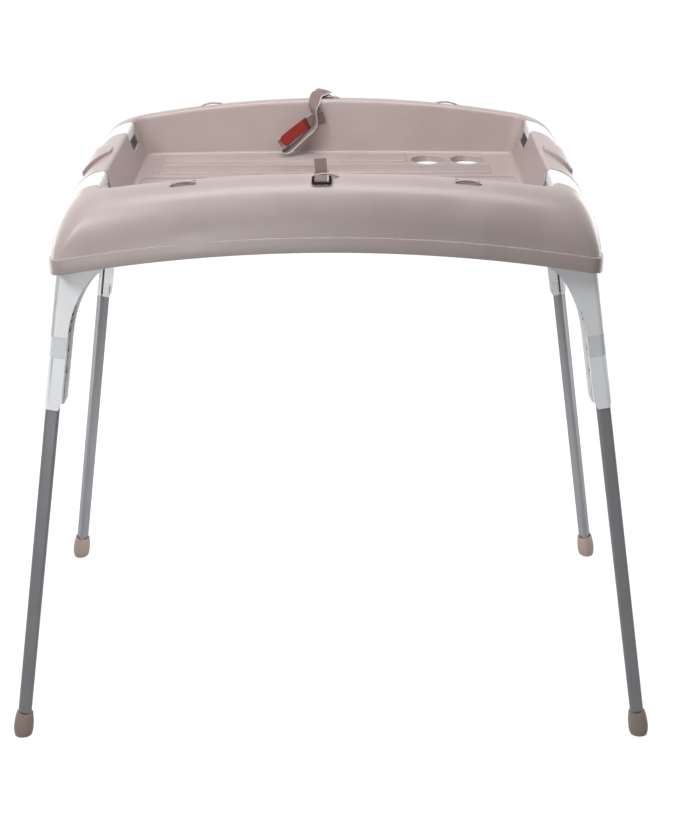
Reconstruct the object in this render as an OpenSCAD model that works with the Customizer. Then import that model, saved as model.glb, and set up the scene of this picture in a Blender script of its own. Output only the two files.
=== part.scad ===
// Free-standing baby changing table: a moulded tray with arched rims on four plug-in legs.
// X runs along the length, -Y is the front, +Z is up. The origin is on the floor, under the middle of the tray.

/* [Tray outline] */
// Length of the tray over its skirt band
tray_length = 786; // [740:1:840]
// Depth of the tray over its skirt band
tray_depth = 570; // [540:1:620]
// How far the skirt band stands out past the wall above it
band_step = 3.5; // [2.5:0.5:6]
// Width of the rounded outer slope on the two ends
end_slope = 56.5; // [50:0.5:62]
// Width of the rounded outer slope along the front and the back
side_slope = 54; // [50:0.5:58]
// Squareness of the outer slope, 2 is an ellipse
slope_power = 2.3; // [2:0.1:3]
// Width of the soft inner edge of the rim
rim_round = 6; // [5:0.5:8]
// Height of the soft inner edge of the rim
rim_fall = 9; // [7:0.5:12]
// How far the two end walls lean out between deck and rim
end_draft = 15; // [8:0.5:18]
// How far the two long walls lean out between deck and rim
side_draft = 2.5; // [1.5:0.5:6]
// Plan corner radius of the skirt band
band_corner = 22; // [18:1:30]
// Plan corner radius of the rim
rim_corner = 28; // [22:1:28]
// Extra plan corner radius half way down the outer slope
corner_swell = 24; // [16:1:28]
// Plan corner radius inside the tray
well_corner = 19; // [16:1:20]
// How far the long sides of the rim and the deck bow outwards in the middle
side_bow = 14; // [8:0.5:15]
// Radius between deck and wall
deck_fillet = 6; // [4:0.5:8]
// Thickness of the moulded skin
skin = 3.4; // [3.2:0.1:4]

/* [Tray heights] */
// Height of the deck inside the tray
deck_height = 840; // [839:0.5:842]
// How far the rim stands above the deck at mid length
rim_rise = 91; // [85:1:100]
// How much lower the rim is at the ends
rim_drop = 27; // [24:0.5:32]
// How far the step above the skirt band lies below the rim at mid length
seam_fall = 75; // [69:1:79]
// How much lower the step is at the ends
seam_drop = 34; // [28:0.5:38]
// Height of the skirt band at mid length, from its lower edge to the step
band_height = 22.5; // [20:0.5:25]
// How much lower the skirt's lower edge is at the ends
hem_drop = 35; // [32:0.5:40]

/* [Deck] */
// Height of the raised deck panels
panel_rise = 2; // [1:0.25:3]
// Left end of the raised deck panels, from the middle
panel_left = 280; // [240:1:290]
// Right end of the long raised panel, from the middle
panel_right = 266; // [240:1:290]
// Front edge of the long raised panel, from the middle
panel_front = 90; // [84:1:100]
// Depth of the long raised panel
panel_depth = 44; // [36:1:50]
// Right end of the rear raised strip, from the middle
strip_right = 130; // [100:1:134]
// Front edge of the rear raised strip, from the middle
strip_front = 161; // [155:1:176]
// Depth of the shallow front recess
recess_depth = 1.5; // [0.5:0.1:1.8]
// Rear edge of the shallow front recess, from the middle
recess_rear = 71; // [60:1:76]
// Front edge of the shallow front recess, from the middle
recess_front = 190; // [150:1:200]
// Radius of the two bottle holes
bottle_r = 26.5; // [22:0.5:28]
// Depth of the sleeve round a bottle hole
bottle_depth = 10; // [8:0.5:10.5]
// Distance from the middle to the first bottle hole
bottle_x = 165; // [164:0.5:168]
// Distance between the bottle holes
bottle_pitch = 66.5; // [64:0.5:68]
// Distance of the bottle holes from the middle, towards the back
bottle_y = 171.5; // [168:0.5:173]

/* [Rim fittings] */
// Distance between the strap loops on each long rim
loop_pitch = 200; // [150:1:240]
// Width of the passage through a strap loop
loop_gap = 35; // [30:1:37]
// Depth of the notch under a strap loop
loop_notch = 2.4; // [2.4:0.1:2.8]
// Height of a loop's arch above the rim's slope
loop_rise = 4; // [3.8:0.1:5]
// Thickness of the arched bridge of a strap loop
loop_thick = 2.2; // [1.8:0.1:2.4]
// Width of the bridge, across the rim
loop_bridge = 12; // [9:0.5:12]
// Distance of the loops' arches outwards from the rim's crest, at mid length
loop_out = 8.5; // [8:0.5:9]
// Width of a white saddle
saddle_width = 72; // [50:1:74]
// Distance from the middle to the centre of a saddle
saddle_y = 148; // [140:1:150]
// Thickness of a saddle
saddle_thick = 1.5; // [1.2:0.1:1.6]
// How deep a saddle lies below the rim's surface
saddle_sink = 0.6; // [0.3:0.1:0.8]
// Height of the tab slot in the inner wall
slot_height = 18; // [12:1:20]
// Height of the lower edge of a saddle's tab below the rim
tab_fall = 17; // [14:0.5:19]
// Width of the carrying lip at its outer edge
lip_width = 120; // [90:1:140]
// Width of the carrying lip at the rim
lip_root = 20; // [16:1:40]
// Distance of the carrying lip's root from the rim
lip_start = 4; // [3:0.5:8]
// How far the carrying lip reaches out from the rim
lip_reach = 42; // [38:0.5:46]
// How far the carrying lip stands up from the curved wall at its root
lip_root_rise = 4.5; // [3:0.5:6]
// How far the carrying lip stands up from the curved wall at its outer edge
lip_edge_rise = 9; // [7:0.5:11]

/* [Legs] */
// Distance of a leg's axis in from the tray's end, at the leg's mounting height
leg_inset_x = 17; // [16:0.5:21]
// Distance of a leg's axis in from the tray's front or back, at the mounting height
leg_inset_y = 55; // [54:0.5:61]
// Height at which these two distances are measured
leg_mount_z = 800; // [795:1:805]
// How far a foot stands out past its leg's mounting point, sideways
foot_splay_x = 133; // [104:1:154]
// How far a foot stands out past its leg's mounting point, front to back
foot_splay_y = 54; // [35:1:70]
// Width of the three-sided leg tube
tube_width = 21.7; // [19:0.1:22.5]
// Corner radius of the leg tube
tube_corner = 5; // [4:0.1:6]
// Wall of the leg tube
tube_wall = 1.5; // [1:0.1:2]
// Height of the bracket's lower end above the floor
socket_z = 578; // [560:1:600]
// How deep the tube plugs into its bracket
socket_depth = 115; // [105:1:116]
// Wall of the tube socket
socket_wall = 2.6; // [2.4:0.1:3]
// Clearance round the tube in its socket
socket_fit = 0.3; // [0.2:0.05:0.5]

/* [Leg brackets] */
// Thickness of the bracket's outer and inner plates
plate_thick = 3; // [2.5:0.1:3.5]
// Gap between the tube socket and the inner plate
plate_gap = 2.3; // [2.2:0.1:4]
// Reach of the bracket from the leg's axis, away from the tray's middle
bracket_out = 12.5; // [12.5:0.1:12.8]
// Reach of the outer plate from the leg's axis, towards the tray's middle
bracket_in = 13.5; // [12:0.5:15]
// How much further the inner plate reaches
inner_extra = 4; // [2:0.5:6]
// Height along the leg at which the haunch starts to flare
haunch_start = 118; // [117:1:125]
// Height of the haunch's flaring curve
haunch_rise = 125; // [123:1:140]
// Full flare of the haunch's curve
haunch_flare = 77; // [60:1:80]
// Furthest reach of the haunch from the leg's axis
haunch_reach = 62; // [50:1:66]
// Thickness of the ribs in the bracket
rib_thick = 2; // [1.5:0.1:2.5]
// Thickness of the flange under the deck
flange_thick = 3; // [2.5:0.1:4]
// How far the flange's upper face lies below the deck's surface
flange_fall = 11; // [9:0.5:12]
// Width of the slit in the inner plate
slit_width = 3.6; // [2:0.1:4]
// Height of the grey inset panel
inset_height = 32; // [24:1:34]
// Lower edge of the inset panel, along the leg
inset_start = 84; // [80:1:86]
// Thickness of the inset panel
inset_thick = 1; // [0.8:0.1:1.4]
// Width of the release button
button_width = 9; // [7:0.5:9]
// Height of the release button
button_height = 20; // [16:1:22]
// How far the release button stands out
button_proud = 2.5; // [2:0.1:3.5]
// Clearance round the release button
button_fit = 0.3; // [0.2:0.05:0.4]

/* [Shoes] */
// Widest radius of a rubber shoe
shoe_r = 16.5; // [16:0.5:19]
// Height of a rubber shoe along the leg
shoe_height = 43; // [38:1:50]
// Thickness of rubber under the tube
shoe_sole = 9; // [7:1:12]
// Clearance round the tube in its shoe
shoe_fit = 0.15; // [0.1:0.05:0.3]

/* [Screws] */
// Radius of a bracket screw
screw_r = 1.5; // [1.25:0.05:1.75]
// Length of a bracket screw below its head
screw_length = 9; // [7:0.5:9.5]
// Outer radius of a screw boss
boss_r = 5; // [4.5:0.25:6]
// Distance of a corner's first screw boss in from the leg's axis, sideways
boss_inset_x = 106; // [103:1:110]
// Distance of a corner's first screw boss in from the leg's axis, front to back
boss_inset_y = 34; // [32:1:37]
// Distance between the screw bosses of one corner
boss_pitch = 27; // [24:1:28]

/* [Straps] */
// Width of the webbing
web_width = 20; // [16:0.5:20]
// Thickness of the webbing
web_thick = 1.2; // [0.9:0.1:1.2]
// Length of a strap slider
slider_length = 28; // [27:0.5:32]
// Height of a strap slider
slider_height = 16; // [15:0.5:17]
// Thickness of a strap slider
slider_thick = 2.2; // [1.8:0.1:2.2]
// Distance of the front slider outwards from the strap loops
slider_out = 15; // [15:0.5:18]
// Thickness of the hook patch
patch_thick = 1.2; // [0.8:0.1:1.6]

/* [Hidden] */
CORNERS = [["front_left", -1, -1], ["front_right", 1, -1], ["rear_left", -1, 1], ["rear_right", 1, 1]];

taupe = "#b9aca7";
white = "#e8ebee";
cool_grey = "#cdd2d8";
tube_grey = "#8b8b8e";
rubber = "#85766e";
web_taupe = "#9a8a85";

// ---- tray: one skin of rings, from the deck's edge over the rim, down to the hem and back inside ----
band_x = tray_length / 2;
band_y = tray_depth / 2;
seam_x = band_x - band_step;
seam_y = band_y - band_step;
rim_x = seam_x - end_slope;
rim_y = seam_y - side_slope;
well_x = rim_x - rim_round;
well_y = rim_y - rim_round;
deck_x = well_x - end_draft;
deck_y = well_y - side_draft;
deck_corner = well_corner - 3;
leg_x = band_x - leg_inset_x;
leg_y = band_y - leg_inset_y;
foot_x = leg_x + foot_splay_x;
foot_y = leg_y + foot_splay_y;

// Heights are parabolas along the length: [height in the middle, fall per square millimetre]
rim_height = deck_height + rim_rise;
seam_height = rim_height - seam_fall;
hem_height = seam_height - band_height;
rim_curve = [rim_height, rim_drop / pow(rim_x, 2)];
seam_curve = [seam_height, seam_drop / pow(seam_x, 2)];
hem_curve = [hem_height, hem_drop / pow(band_x, 2)];
function level(z) = [z, 0];
function lower(curve, dz) = [curve[0] - dz, curve[1]];
function blend(a, b, t) = a + (b - a) * t;
function height(curve, x) = curve[0] - curve[1] * x * x;
function bow_at(x) = side_bow * pow(x / rim_x, 2);

// A ring is [half length, half depth, corner radius, height curve, share of the bow]
slope_steps = 8;
round_steps = 4;
function side_of(t) = pow(sin(t), 2 / slope_power);
function top_of(t) = pow(cos(t), 2 / slope_power);
function slope_ring(t, in = 0) = [
    rim_x + end_slope * side_of(t) - in * side_of(t),
    rim_y + side_slope * side_of(t) - in * side_of(t),
    blend(rim_corner, band_corner - band_step, side_of(t)) + corner_swell * sin(2 * t) - in * side_of(t),
    lower(blend(seam_curve, rim_curve, top_of(t)), in), top_of(t)];
function rim_ring(a, in = 0) = [
    well_x + rim_round * (1 - cos(a)) + in * cos(a),
    well_y + rim_round * (1 - cos(a)) + in * cos(a),
    blend(well_corner, rim_corner, 1 - cos(a)) + in * cos(a),
    lower(rim_curve, rim_fall * (1 - sin(a)) + in * sin(a)), 1];
function fillet_ring(a, in = 0) = [
    deck_x - deck_fillet + (deck_fillet + in) * sin(a),
    deck_y - deck_fillet + (deck_fillet + in) * sin(a),
    deck_corner - deck_fillet + (deck_fillet + in) * sin(a),
    level(deck_height + deck_fillet - (deck_fillet + in) * cos(a)), 1];
function band_ring(inset, curve) = [band_x - inset, band_y - inset, band_corner - inset, curve, 0];

rings = concat(
    [for (i = [0:3]) fillet_ring(90 * i / 3)],
    [for (i = [0:round_steps]) rim_ring(90 * i / round_steps)],
    [for (i = [1:slope_steps]) slope_ring(90 * i / slope_steps)],
    [band_ring(1, lower(seam_curve, 0.2)), band_ring(0, lower(seam_curve, 1.4)),
     band_ring(0, lower(hem_curve, -1)), band_ring(0.8, hem_curve),
     band_ring(skin, hem_curve), band_ring(skin, lower(seam_curve, skin + 1)),
     [seam_x - skin, seam_y - skin, band_corner - band_step - skin, lower(seam_curve, skin - 0.6), 0]],
    [for (i = [slope_steps - 1:-2:1]) slope_ring(90 * i / slope_steps, skin)],
    [for (i = [round_steps:-2:0]) rim_ring(90 * i / round_steps, skin)],
    [for (i = [3:-1:0]) fillet_ring(90 * i / 3, skin)]);

long_steps = 16;
corner_steps = 8;
function quarter(x, y, r, start) =
    [for (i = [0:corner_steps - 1]) let (a = start + 90 * i / corner_steps) [x + r * cos(a), y + r * sin(a)]];
function outline(hx, hy, r) = let (x = hx - r, y = hy - r) concat(
    [[hx, -y]], quarter(x, y, r, 0),
    [for (i = [0:long_steps - 1]) [x * (1 - 2 * i / long_steps), hy]], quarter(-x, y, r, 90),
    [[-hx, y]], quarter(-x, -y, r, 180),
    [for (i = [0:long_steps - 1]) [x * (2 * i / long_steps - 1), -hy]], quarter(x, -y, r, 270));
function ring_points(ring) = [for (p = outline(ring[0], ring[1], ring[2]))
    let (side = max(-1, min(1, p[1] / (ring[1] - ring[2]))))
        [p[0], p[1] - ring[4] * bow_at(p[0]) * side, height(ring[3], p[0])]];

// Height and tilt of the outer slope on the long sides, at mid length
function slope_z(y) = blend(seam_height, rim_height, top_of(asin(pow((y - rim_y) / side_slope, slope_power / 2))));
function slope_tilt(y) = atan((slope_z(y - 1) - slope_z(y + 1)) / 2);

// A tube or shell of equal rings, closed at both ends
module skin_of(loops) {
    n = len(loops[0]);
    m = len(loops);
    polyhedron(
        points = [for (loop = loops) each loop],
        faces = concat(
            [[for (i = [0:n - 1]) i]],
            [for (j = [0:m - 2], i = [0:n - 1]) let (k = (i + 1) % n) each
                [[j * n + i, (j + 1) * n + i, (j + 1) * n + k], [j * n + i, (j + 1) * n + k, j * n + k]]],
            [[for (i = [n - 1:-1:0]) (m - 1) * n + i]]),
        convexity = 8);
}

// The end wall's outer profile, as [x, z] with its outward direction
function end_point(ring) = [ring[0], height(ring[3], ring[0])];
function end_profile(drop_from, slope_to) = concat(
    [[[well_x - 0.9, height(rim_curve, rim_x) - drop_from], [-1, 0]]],
    [for (i = [0:round_steps]) let (a = 90 * i / round_steps) [end_point(rim_ring(a)), [-cos(a), sin(a)]]],
    [for (i = [1:slope_to]) let (t = 90 * i / slope_steps) [end_point(slope_ring(t)), [sin(t), cos(t)]]]);
function sunk(profile, depth) = [for (p = profile) p[0] - p[1] * depth];
function flipped(points) = [for (i = [len(points) - 1:-1:0]) points[i]];

saddle_fit = 0.3;
slot_top = height(rim_curve, rim_x) - tab_fall;
saddle_profile = end_profile(tab_fall, slope_steps - 1);
module on_end(width) rotate([90, 0, 0]) translate([0, 0, -width / 2]) linear_extrude(width) children();
module both_ends() for (s = [0, 1]) mirror([s, 0, 0]) children();
module both_sides() for (s = [0, 1]) mirror([0, s, 0]) children();

module saddle_channel()
    translate([0, saddle_y, 0]) {
        on_end(saddle_width + 2 * saddle_fit)
            polygon(concat(sunk(saddle_profile, -3),
                           flipped(sunk(saddle_profile, saddle_sink + saddle_thick + 0.1))));
        translate([deck_x - 5, -saddle_width / 2 + 4, slot_top - slot_height])
            cube([well_x - deck_x + 5 + skin + 3, saddle_width - 8, slot_height + 0.01]);
    }

// The carrying lip follows the curve of the wall and stands off it more and more towards its outer edge
lip_steps = 8;
lip_sink = 1.5;
function lip_turn(i) = asin(pow(blend(lip_start, lip_reach, i / lip_steps) / end_slope, slope_power / 2));
function lip_top(i) = end_point(slope_ring(lip_turn(i))) + [0, blend(lip_root_rise, lip_edge_rise, i / lip_steps)];
function lip_under(i) = end_point(slope_ring(lip_turn(i))) - lip_sink * [sin(lip_turn(i)), cos(lip_turn(i))];
module carrying_lip()
    intersection() {
        on_end(lip_width)
            polygon(concat([for (i = [0:lip_steps]) lip_top(i)], [for (i = [lip_steps:-1:0]) lip_under(i)]));
        linear_extrude(rim_height + 10)
            polygon([[rim_x + lip_start - 2, -lip_root / 2], [rim_x + lip_reach + 1, -lip_width / 2],
                     [rim_x + lip_reach + 1, lip_width / 2], [rim_x + lip_start - 2, lip_root / 2]]);
    }

// A strap loop: a notch across the top of the slope with a low arch over it
loop_flat = loop_gap / 2;
loop_foot = loop_flat + 2.5;
arch_r = (pow(loop_foot, 2) + pow(loop_rise, 2)) / (2 * loop_rise);
loop_y = rim_y + loop_out;
loop_floor = 3.4;
function loop_z(x) = blend(height(seam_curve, x), height(rim_curve, x),
    top_of(asin(pow((loop_out + bow_at(x)) / side_slope, slope_power / 2))));
module at_loop(i)
    translate([i * loop_pitch, loop_y, loop_z(i * loop_pitch)])
        rotate([0, atan(2 * rim_curve[1] * i * loop_pitch), 0]) children();
module loop_notches(i)
    at_loop(i) translate([-loop_flat, -loop_bridge / 2 - 2, -loop_notch]) cube([loop_gap, loop_bridge + 16, 12]);
module loop_base(i)
    at_loop(i) translate([-loop_flat - 2, -loop_bridge / 2 - 2, -loop_notch - loop_floor])
        cube([loop_gap + 4, loop_bridge + 6, 4]);
module loop_arch(i)
    at_loop(i) rotate([90, 0, 0]) translate([0, 0, -loop_bridge / 2])
        linear_extrude(loop_bridge) intersection() {
            translate([0, loop_rise - arch_r]) difference() {
                circle(arch_r, $fn = 180);
                circle(arch_r - loop_thick, $fn = 180);
            }
            translate([-loop_foot, -4.5]) square([2 * loop_foot, 12]);
        }

module soft_rect(x0, x1, y0, y1, r) {
    translate([x0 + r, y0]) square([x1 - x0 - 2 * r, y1 - y0]);
    translate([x0, y0 + r]) square([x1 - x0, y1 - y0 - 2 * r]);
    for (x = [x0 + r, x1 - r], y = [y0 + r, y1 - r]) translate([x, y]) circle(r, $fn = 48);
}

// The rear strip runs into the rear wall, whose foot is bowed
strip_bury = 3;
strip_steps = 12;
function strip_back(x) = deck_y - deck_fillet + strip_bury - bow_at(x);
strip_outline = concat(
    [[-panel_left, strip_front + 4], [strip_right, strip_front + 4]],
    [for (i = [strip_steps:-1:0]) let (x = blend(-panel_left, strip_right, i / strip_steps)) [x, strip_back(x)]]);
module deck_panels() translate([0, 0, deck_height - 1]) {
    linear_extrude(panel_rise + 1) soft_rect(-panel_left, panel_right, panel_front, panel_front + panel_depth, 4);
    linear_extrude(panel_rise + 1) soft_rect(-panel_left, strip_right, strip_front, strip_front + 24, 3);
    linear_extrude(panel_rise + 1) polygon(strip_outline);
}
module deck_recess()
    translate([0, 0, deck_height - recess_depth]) linear_extrude(5)
        soft_rect(-(deck_x - deck_fillet - 3), deck_x - deck_fillet - 3, -recess_front, recess_rear, 12);

bottle_wall = 2.4;
bottle_z = deck_height - bottle_depth;
module at_bottles() for (i = [0, 1]) translate([bottle_x + i * bottle_pitch, bottle_y, 0]) children();

flange_z = deck_height - flange_fall;
boss_x = leg_x - boss_inset_x;
boss_y = leg_y - boss_inset_y;
boss_spots = [[boss_x, boss_y], [boss_x + boss_pitch, boss_y], [boss_x + boss_pitch, boss_y - boss_pitch]];
module at_bosses() for (sx = [-1, 1], sy = [-1, 1], p = boss_spots) translate([sx * p[0], sy * p[1], 0]) children();

module tray() color(taupe) difference() {
    union() {
        difference() {
            union() {
                skin_of([for (ring = flipped(rings)) ring_points(ring)]);
                both_sides() for (i = [-1:1]) loop_base(i);
            }
            both_sides() for (i = [-1:1]) loop_notches(i);
            both_ends() both_sides() saddle_channel();
            deck_recess();
        }
        deck_panels();
        both_sides() for (i = [-1:1]) loop_arch(i);
        both_ends() carrying_lip();
        at_bottles() translate([0, 0, bottle_z]) cylinder(r = bottle_r + bottle_wall, h = bottle_depth - 1, $fn = 72);
        at_bosses() translate([0, 0, flange_z]) cylinder(r = boss_r, h = deck_height - flange_z - skin + 1, $fn = 48);
    }
    at_bottles() {
        translate([0, 0, bottle_z - 1]) cylinder(r = bottle_r, h = bottle_depth + 6, $fn = 72);
        translate([0, 0, deck_height - 2]) cylinder(r1 = bottle_r, r2 = bottle_r + 2.01, h = 2.01, $fn = 72);
    }
    at_bosses() translate([0, 0, flange_z - 1])
        cylinder(r = screw_r + 0.05, h = screw_length - flange_thick + 1.6, $fn = 32);
}

// ---- saddles: a strip over the end wall, with a narrower hook into the slot ----
tab_x = well_x - 0.9 + saddle_sink;
hook_width = saddle_width - 10;
module saddle() color(white) translate([0, saddle_y, 0]) {
    on_end(saddle_width)
        polygon(concat(sunk(saddle_profile, saddle_sink), flipped(sunk(saddle_profile, saddle_sink + saddle_thick))));
    on_end(hook_width)
        polygon([[tab_x, slot_top + 1], [tab_x + saddle_thick, slot_top + 1], [tab_x + saddle_thick, slot_top - 0.3],
                 [tab_x + skin + 3, slot_top - 0.3], [tab_x + skin + 3, slot_top - 1.7], [tab_x, slot_top - 1.7]]);
}

// ---- legs: everything below is drawn about the leg's axis, from the bracket's lower end ----
lean_run = [foot_x - leg_x, foot_y - leg_y] / leg_mount_z;
lean_length = sqrt(1 + pow(lean_run[0], 2) + pow(lean_run[1], 2));
lean_y = asin(lean_run[1] / lean_length);
lean_x = asin(lean_run[0] / lean_length / cos(lean_y));
socket_x = foot_x - lean_run[0] * socket_z;
socket_y = foot_y - lean_run[1] * socket_z;
leg_below = socket_z * lean_length;
module on_leg() translate([socket_x, socket_y, socket_z]) rotate([lean_y, -lean_x, 0]) children();
module in_corner(c)
    mirror([c[1] < 0 ? 1 : 0, 0, 0]) mirror([0, c[2] < 0 ? 1 : 0, 0]) children();

// Rounded triangle with one flat side outwards (+Y) and one corner towards the table's middle
tri_side = tube_width - 2 * tube_corner;
tri_in = tri_side / (2 * sqrt(3));
tri_steps = 16;
function tri_corners() = [[-tri_side / 2, tri_in], [tri_side / 2, tri_in], [0, -2 * tri_in]];
module round_tri(grow = 0) {
    r = tube_corner + grow;
    c = tri_corners();
    polygon([for (i = [0:2], k = [0:tri_steps]) let (a = [150, 30, -90][i] + 60 - 120 * k / tri_steps)
        c[i] + r * [cos(a), sin(a)]]);
}

sleeve_grow = socket_fit + socket_wall;
plate_front = tri_in + tube_corner + sleeve_grow + plate_thick - 0.3;
plate_rear = 2 * tri_in + tube_corner + sleeve_grow + plate_gap + plate_thick;
bracket_top = (flange_z - socket_z) * lean_length + 20;
flare_steps = 12;
function flare(w) = w < haunch_start ? 0
    : haunch_flare * (1 - sqrt(max(0, 1 - pow((w - haunch_start) / haunch_rise, 2))));
function haunch(inner) = concat(
    [[-inner + 4, 0], [bracket_out - 4, 0], [bracket_out, 10], [bracket_out, bracket_top],
     [-haunch_reach, bracket_top]],
    [for (i = [flare_steps:-1:0]) let (w = haunch_start + (haunch_rise - 4) * i / flare_steps)
        [max(-haunch_reach, -inner - flare(w)), w]],
    [[-inner, 12]]);
module plate_shape(inner, y0, y1)
    rotate([90, 0, 0]) translate([0, 0, -y1]) linear_extrude(y1 - y0) polygon(haunch(inner));

corner_r = 8;
module bracket_section(inset = 0)
    soft_rect(-haunch_reach - 20, bracket_out - inset, -plate_rear + inset, plate_front - inset, corner_r - inset);
module leg_length(w0, w1) translate([0, 0, w0]) linear_extrude(w1 - w0) children();

web_x = bracket_out - 3;
// Heights of the ribs along the leg
rib_levels = [50, 84.5, 133, 143, 155.5, 194];
inner_reach = bracket_in + inner_extra;
module bracket_channel() difference() {
    translate([-haunch_reach - 30, -plate_rear + plate_thick, 3])
        cube([haunch_reach + 30 + web_x, plate_rear + plate_front - 2 * plate_thick, bracket_top - 3]);
    leg_length(0, socket_depth + 3) {
        round_tri(sleeve_grow);
        translate([-tri_side / 2, 0]) square([tri_side, plate_front - 1]);
    }
    for (w = rib_levels) translate([-haunch_reach - 40, -plate_rear, w]) cube([haunch_reach + 60, 60, rib_thick]);
    translate([-haunch_reach - 40, -plate_rear, haunch_start - 2]) cube([haunch_reach + 60, 60, 3]);
}

module inset_shape(grow)
    translate([0, 0, inset_start - grow]) linear_extrude(inset_height + 2 * grow) intersection() {
        difference() {
            bracket_section(0.1 - grow * 2);
            bracket_section(0.1 + inset_thick + grow);
        }
        translate([-bracket_in + 1.5 - grow, 2]) square([60, 60]);
    }

button_x = -slit_width / 2 - 1.6 - button_fit - button_width / 2;
button_w = 6 + button_height / 2;
module button_shape(grow, y0, y1)
    translate([button_x, y0, button_w]) rotate([-90, 0, 0]) linear_extrude(y1 - y0)
        soft_rect(-button_width / 2 - grow, button_width / 2 + grow,
                  -button_height / 2 - grow, button_height / 2 + grow, 3.5 + grow);

// The flange runs from round the screw bosses to the top of the haunch
flange_edge = boss_r + 2;
flange_outline = [
    [boss_x - flange_edge, boss_y - flange_edge],
    [boss_x + boss_pitch - flange_edge, boss_y - boss_pitch - flange_edge],
    [boss_x + boss_pitch + flange_edge, boss_y - boss_pitch - flange_edge], [leg_x + 8, leg_y - 21],
    [leg_x + 8, leg_y + 6], [leg_x - 46, leg_y + 13], [boss_x - flange_edge, boss_y + flange_edge + 2]];
module bracket() color(white) difference() {
    union() {
        difference() {
            on_leg() difference() {
                intersection() {
                    leg_length(0, bracket_top) bracket_section();
                    union() {
                        plate_shape(bracket_in, -plate_rear, plate_front + 1);
                        plate_shape(inner_reach, -plate_rear - 1, -plate_rear + plate_thick);
                    }
                }
                bracket_channel();
                leg_length(-1, socket_depth) round_tri(socket_fit);
                translate([-slit_width / 2, -plate_rear - 1, -1])
                    cube([slit_width, plate_thick + 1.5, haunch_start - 12]);
                button_shape(button_fit, -plate_rear - 1, -plate_rear + plate_thick + 1);
                inset_shape(0.1);
            }
            translate([0, 0, flange_z - flange_thick]) cube([foot_x, foot_y, leg_mount_z - socket_z]);
        }
        translate([0, 0, flange_z - flange_thick]) linear_extrude(flange_thick) polygon(flange_outline);
    }
    for (p = boss_spots) translate([p[0], p[1], flange_z - flange_thick - 1])
        cylinder(r = screw_r + 0.3, h = flange_thick + 2, $fn = 32);
}

module inset() color(cool_grey) on_leg() inset_shape(0);

module button() color(white) on_leg() {
    button_shape(0, -plate_rear - button_proud + 0.6, -plate_rear + plate_thick - 0.2);
    button_shape(-0.6, -plate_rear - button_proud, -plate_rear - button_proud + 0.7);
}

module leg_tube() color(tube_grey) on_leg() difference() {
    leg_length(-leg_below + shoe_sole, socket_depth - 0.2) round_tri();
    leg_length(-leg_below + shoe_sole - 1, socket_depth) round_tri(-tube_wall);
}

shoe_rings = 12;
shoe_points = 24;
belly_at = 16;
neck_taper = 2.6;
toe_taper = 2.25;
function shoe_belly(w) = shoe_r - (w > belly_at ? neck_taper * pow((w - belly_at) / (shoe_height - belly_at), 2)
    : toe_taper * pow((belly_at - w) / belly_at, 2.2));
function shoe_ring(w) = [for (i = [0:shoe_points - 1]) let (a = 360 * i / shoe_points)
    let (soft = 0.06 + 0.06 * w / shoe_height, r = shoe_belly(w) * (1 - soft * (1 + cos(3 * (a - 90))) / 2))
    [r * cos(a), r * sin(a), w - leg_below]];
module shoe() color(rubber) difference() {
    on_leg() difference() {
        skin_of([for (j = [0:shoe_rings]) shoe_ring(-6 + (shoe_height + 6) * j / shoe_rings)]);
        leg_length(-leg_below + shoe_sole - 0.2, -leg_below + shoe_height + 1) round_tri(shoe_fit);
    }
    translate([foot_x, foot_y, -shoe_height]) cube(2 * shoe_height, center = true);
}

// ---- screws ----
module bracket_screws() color("#b8bcc0") at_bosses() {
    translate([0, 0, flange_z - flange_thick - 2.1]) cylinder(r1 = 2.6, r2 = 3.4, h = 2.1, $fn = 32);
    translate([0, 0, flange_z - flange_thick - 0.1]) cylinder(r = screw_r, h = screw_length, $fn = 32);
}

// ---- straps: webbing swept along a route, each point with the direction of its width ----
function unit(v) = v / norm(v);
function spline(p, i, t) =
    let (n = len(p) - 1, a = p[max(i - 1, 0)], b = p[i], c = p[min(i + 1, n)], d = p[min(i + 2, n)])
    0.5 * ((2 * b) + (c - a) * t + (2 * a - 5 * b + 4 * c - d) * t * t + (3 * b - a - 3 * c + d) * t * t * t);
function station(route, s) = let (i = min(floor(s), len(route) - 2), t = s - i)
    [spline([for (q = route) q[0]], i, t), blend(route[i][1], route[i + 1][1], t)];
function tangent(route, s) = let (e = 0.02, n = len(route) - 1)
    unit(station(route, min(s + e, n))[0] - station(route, max(s - e, 0))[0]);
function web_ring(route, s, half, lo, hi) =
    let (st = station(route, s), t = tangent(route, s), w = unit(st[1] - t * (st[1] * t)), n = cross(t, w))
    [st[0] - w * half + n * lo, st[0] + w * half + n * lo, st[0] + w * half + n * hi, st[0] - w * half + n * hi];
module web(route, s0, s1, steps, lo, hi, round_end = false)
    skin_of([for (i = [0:steps]) let (s = blend(s0, s1, i / steps),
        half = web_width / 2 * (round_end && i < 5 ? sqrt(1 - pow((5 - i) / 5.6, 2)) : 1))
        web_ring(route, s, half, lo, hi)]);

// Both strap halves pass under the middle loop's arch, just above the notch's floor
strap_x = -5;
under_z = loop_z(0) - loop_notch + web_thick / 2 + 0.25;
arch_edge = loop_y + loop_bridge / 2;
function on_x(x, y, z) = [[x, y, z], [1, 0, 0]];

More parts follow.
